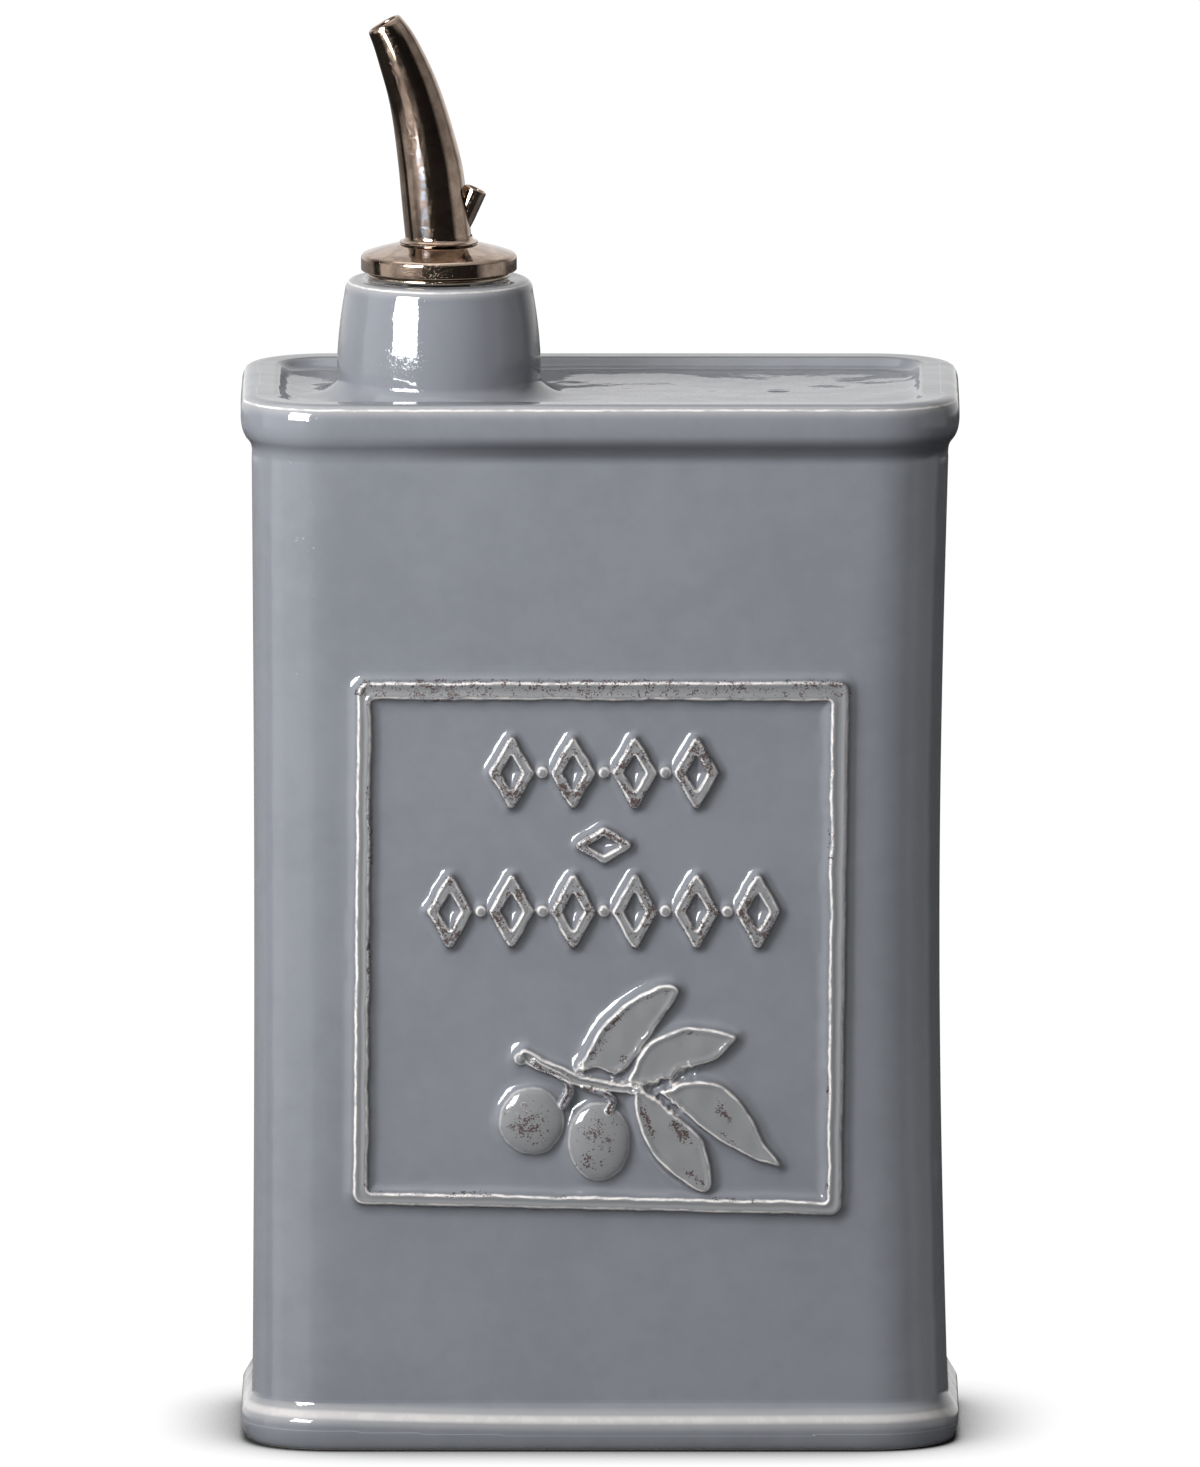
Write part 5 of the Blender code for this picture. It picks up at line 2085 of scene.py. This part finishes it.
@dataclass
class Studio:
    """The pale floor, the soft lamps and the camera."""

    look_at: Vector = field(default_factory=lambda: Vector((0.0, 0.0, 0.1336)))
    elevation: float = 8.3
    distance: float = 10.0
    view_height: float = 0.2817
    sensor: float = 36.0
    floor_size: float = 6.0
    floor_white: float = 0.35
    floor_seen: float = 0.04
    # The depth, reach and falloff of the painted contact shadow on the floor.
    contact_shadow: float = 2.4
    shadow_reach: float = 0.026
    shadow_power: float = 1.5
    key_aim: Place = (0.0, 0.0, 0.28)
    key_size: Point = (0.29, 0.296)
    lamps: tuple[Softbox, ...] = (
        Softbox("key_softbox", (-0.392, -0.456, 0.362), key_aim, key_size, 6.0, glossy=False),
        Softbox("key_sheen", (-0.38808, -0.45144, 0.36118), key_aim, key_size, 8.0, diffuse=False),
        Softbox("fill_softbox", (-0.42, -0.30, 0.52), (0.0, 0.0, 0.12), (0.5, 0.5), 2.8, glossy=False),
        Softbox("top_softbox", (-0.15, 0.10, 0.90), (0.0, 0.0, 0.15), (0.6, 0.6), 1.1),
    )
    sky_towards: Place = (-0.27, -0.70, 0.66)
    sky_turn: Point = (-0.3, 0.9)
    sky_levels: Point = (0.08, 0.85)
    backdrop: float = 0.90
    backdrop_rise: Point = (-0.135, -0.06)
    backdrop_turn: Point = (0.40, 0.85)
    ceiling: float = 0.55
    ceiling_rise: Point = (0.45, 0.75)
    table: float = 0.08
    table_fall: Point = (-0.6, -0.9)
    ground: float = 0.03
    ground_fall: Point = (-0.17, -0.28)
    walls_dimming: Zone = (0.0, 0.25, 1.0, 0.55)
    walls: tuple[Point, ...] = (
        (-180.0, 0.30), (-116.0, 0.30), (-111.0, 0.03), (-99.0, 0.03), (-94.0, 0.75),
        (-78.0, 0.68), (-71.0, 0.42), (-30.0, 0.40), (-22.0, 0.03), (58.0, 0.02),
        (74.0, 0.50), (110.0, 0.48), (122.0, 0.10), (180.0, 0.06),
    )

    def place_camera(self) -> None:
        """Puts the camera at the photograph's angle."""
        camera = bpy.data.cameras.new("camera")
        camera.sensor_width = self.sensor
        camera.lens = self.sensor * self.distance / self.view_height
        item = bpy.data.objects.new("camera", camera)
        angle = math.radians(self.elevation)
        towards = Vector((0.0, -math.cos(angle), math.sin(angle)))
        item.location = self.look_at + towards * self.distance
        item.rotation_euler = (math.radians(90.0) - angle, 0.0, 0.0)
        bpy.context.scene.collection.objects.link(item)
        bpy.context.scene.camera = item

    def light_world(self) -> None:
        """Gives the world a white backdrop for the camera and the studio's walls for mirror rays."""
        world = bpy.data.worlds.new("studio")
        bpy.context.scene.world = world
        world.use_nodes = True
        board = NodeBoard(world.node_tree)
        direction = board.add("ShaderNodeTexCoord").outputs["Generated"]
        x, y, z = board.split(direction)
        azimuth = board.math("ARCTAN2", x, board.times(y, -1.0))
        ramp = board.add("ShaderNodeValToRGB")
        board.feed(ramp.inputs[0], board.plus(board.math("DIVIDE", azimuth, math.tau), 0.5))
        stops = ramp.color_ramp.elements
        for angle, _ in self.walls[1:-1]:
            stops.new(angle / 360.0 + 0.5)
        for stop, (_, level) in zip(stops, self.walls):
            stop.color = (level, level, level, 1.0)
        upper = board.step(z, *self.walls_dimming)
        tint = board.add("ShaderNodeVectorMath", operation="SCALE")
        board.feed(tint.inputs[0], ramp.outputs["Color"])
        board.feed(tint.inputs["Scale"], upper)
        behind = board.times(board.step(y, *self.backdrop_turn), board.step(z, *self.backdrop_rise))
        mirror = board.blend(board.step(z, *self.ground_fall), tint.outputs[0], (self.ground,) * 3)
        mirror = board.blend(behind, mirror, (self.backdrop,) * 3)
        mirror = board.blend(board.step(z, *self.ceiling_rise), mirror, (self.ceiling,) * 3)
        mirror = board.blend(board.step(z, *self.table_fall), mirror, (self.table,) * 3)
        facing = board.add("ShaderNodeVectorMath", operation="DOT_PRODUCT")
        board.feed(facing.inputs[0], direction)
        facing.inputs[1].default_value = self.sky_towards
        ambient = board.step(facing.outputs["Value"], *self.sky_turn, *self.sky_levels)
        path = board.add("ShaderNodeLightPath")
        colour = board.blend(path.outputs["Is Glossy Ray"], ambient, mirror)
        colour = board.blend(path.outputs["Is Camera Ray"], colour, (1.0, 1.0, 1.0))
        background = board.add("ShaderNodeBackground")
        board.feed(background.inputs["Color"], colour)
        output = board.add("ShaderNodeOutputWorld")
        board.feed(output.inputs["Surface"], background.outputs["Background"])

    def lay_floor(self) -> None:
        """Lays the white floor, whose glow is darkened near the can by ambient occlusion: a painted contact
        shadow.
        """
        bm = bmesh.new()
        bmesh.ops.create_grid(bm, x_segments=1, y_segments=1, size=self.floor_size / 2)
        mesh = bpy.data.meshes.new("floor")
        bm.to_mesh(mesh)
        bm.free()
        item = bpy.data.objects.new("floor", mesh)
        bpy.context.scene.collection.objects.link(item)
        material = bpy.data.materials.new("white_floor")
        material.use_nodes = True
        board = NodeBoard(material.node_tree)
        path = board.add("ShaderNodeLightPath")
        seen = path.outputs["Is Camera Ray"]
        matt = board.add("ShaderNodeBsdfDiffuse")
        board.feed(matt.inputs["Color"], board.blend(seen, (self.floor_white,) * 3, (self.floor_seen,) * 3))
        glow = board.add("ShaderNodeEmission")
        # Painted shadow: ambient occlusion darkens the floor's glow near the can.
        nearness = board.add("ShaderNodeAmbientOcclusion", samples=16)
        nearness.inputs["Distance"].default_value = self.shadow_reach
        hidden = board.math("POWER", board.minus(1.0, nearness.outputs["AO"]), self.shadow_power)
        open_share = board.math("SUBTRACT", 1.0, board.times(hidden, self.contact_shadow), clamp=True)
        board.feed(glow.inputs["Strength"], board.times(seen, open_share))
        both = board.add("ShaderNodeAddShader")
        board.feed(both.inputs[0], matt.outputs[0])
        board.feed(both.inputs[1], glow.outputs[0])
        output = board.add("ShaderNodeOutputMaterial")
        board.feed(output.inputs["Surface"], both.outputs[0])
        mesh.materials.append(material)
        item.visible_glossy = False

    def build(self) -> None:
        """Sets the whole studio up."""
        bpy.context.scene.view_settings.view_transform = "Standard"
        self.place_camera()
        self.light_world()
        self.lay_floor()
        for lamp in self.lamps:
            lamp.build()


def main() -> None:
    """Builds the can, its stopper, its pourer and the studio."""
    logging.basicConfig(level=logging.INFO, format="%(name)s: %(message)s")
    shelf = EffectShelf()
    GlazedCan().build(GlazeFinish().build(shelf))
    ring_metal = NickelFinish("ring_nickel", bright=(0.60, 0.52, 0.43), dull=(0.50, 0.43, 0.35), brushed=0.3)
    RibbedStopper().build(RubberFinish().build(shelf), ring_metal.build(shelf))
    pitted = NickelFinish("pitted_nickel", peel_share=0.2, pit_share=0.2, pit_depth=0.00006, worn_streak=True)
    MetalPourer().build(NickelFinish("warm_nickel").build(shelf), pitted.build(shelf))
    Studio().build()


if __name__ == "__main__":
    main()
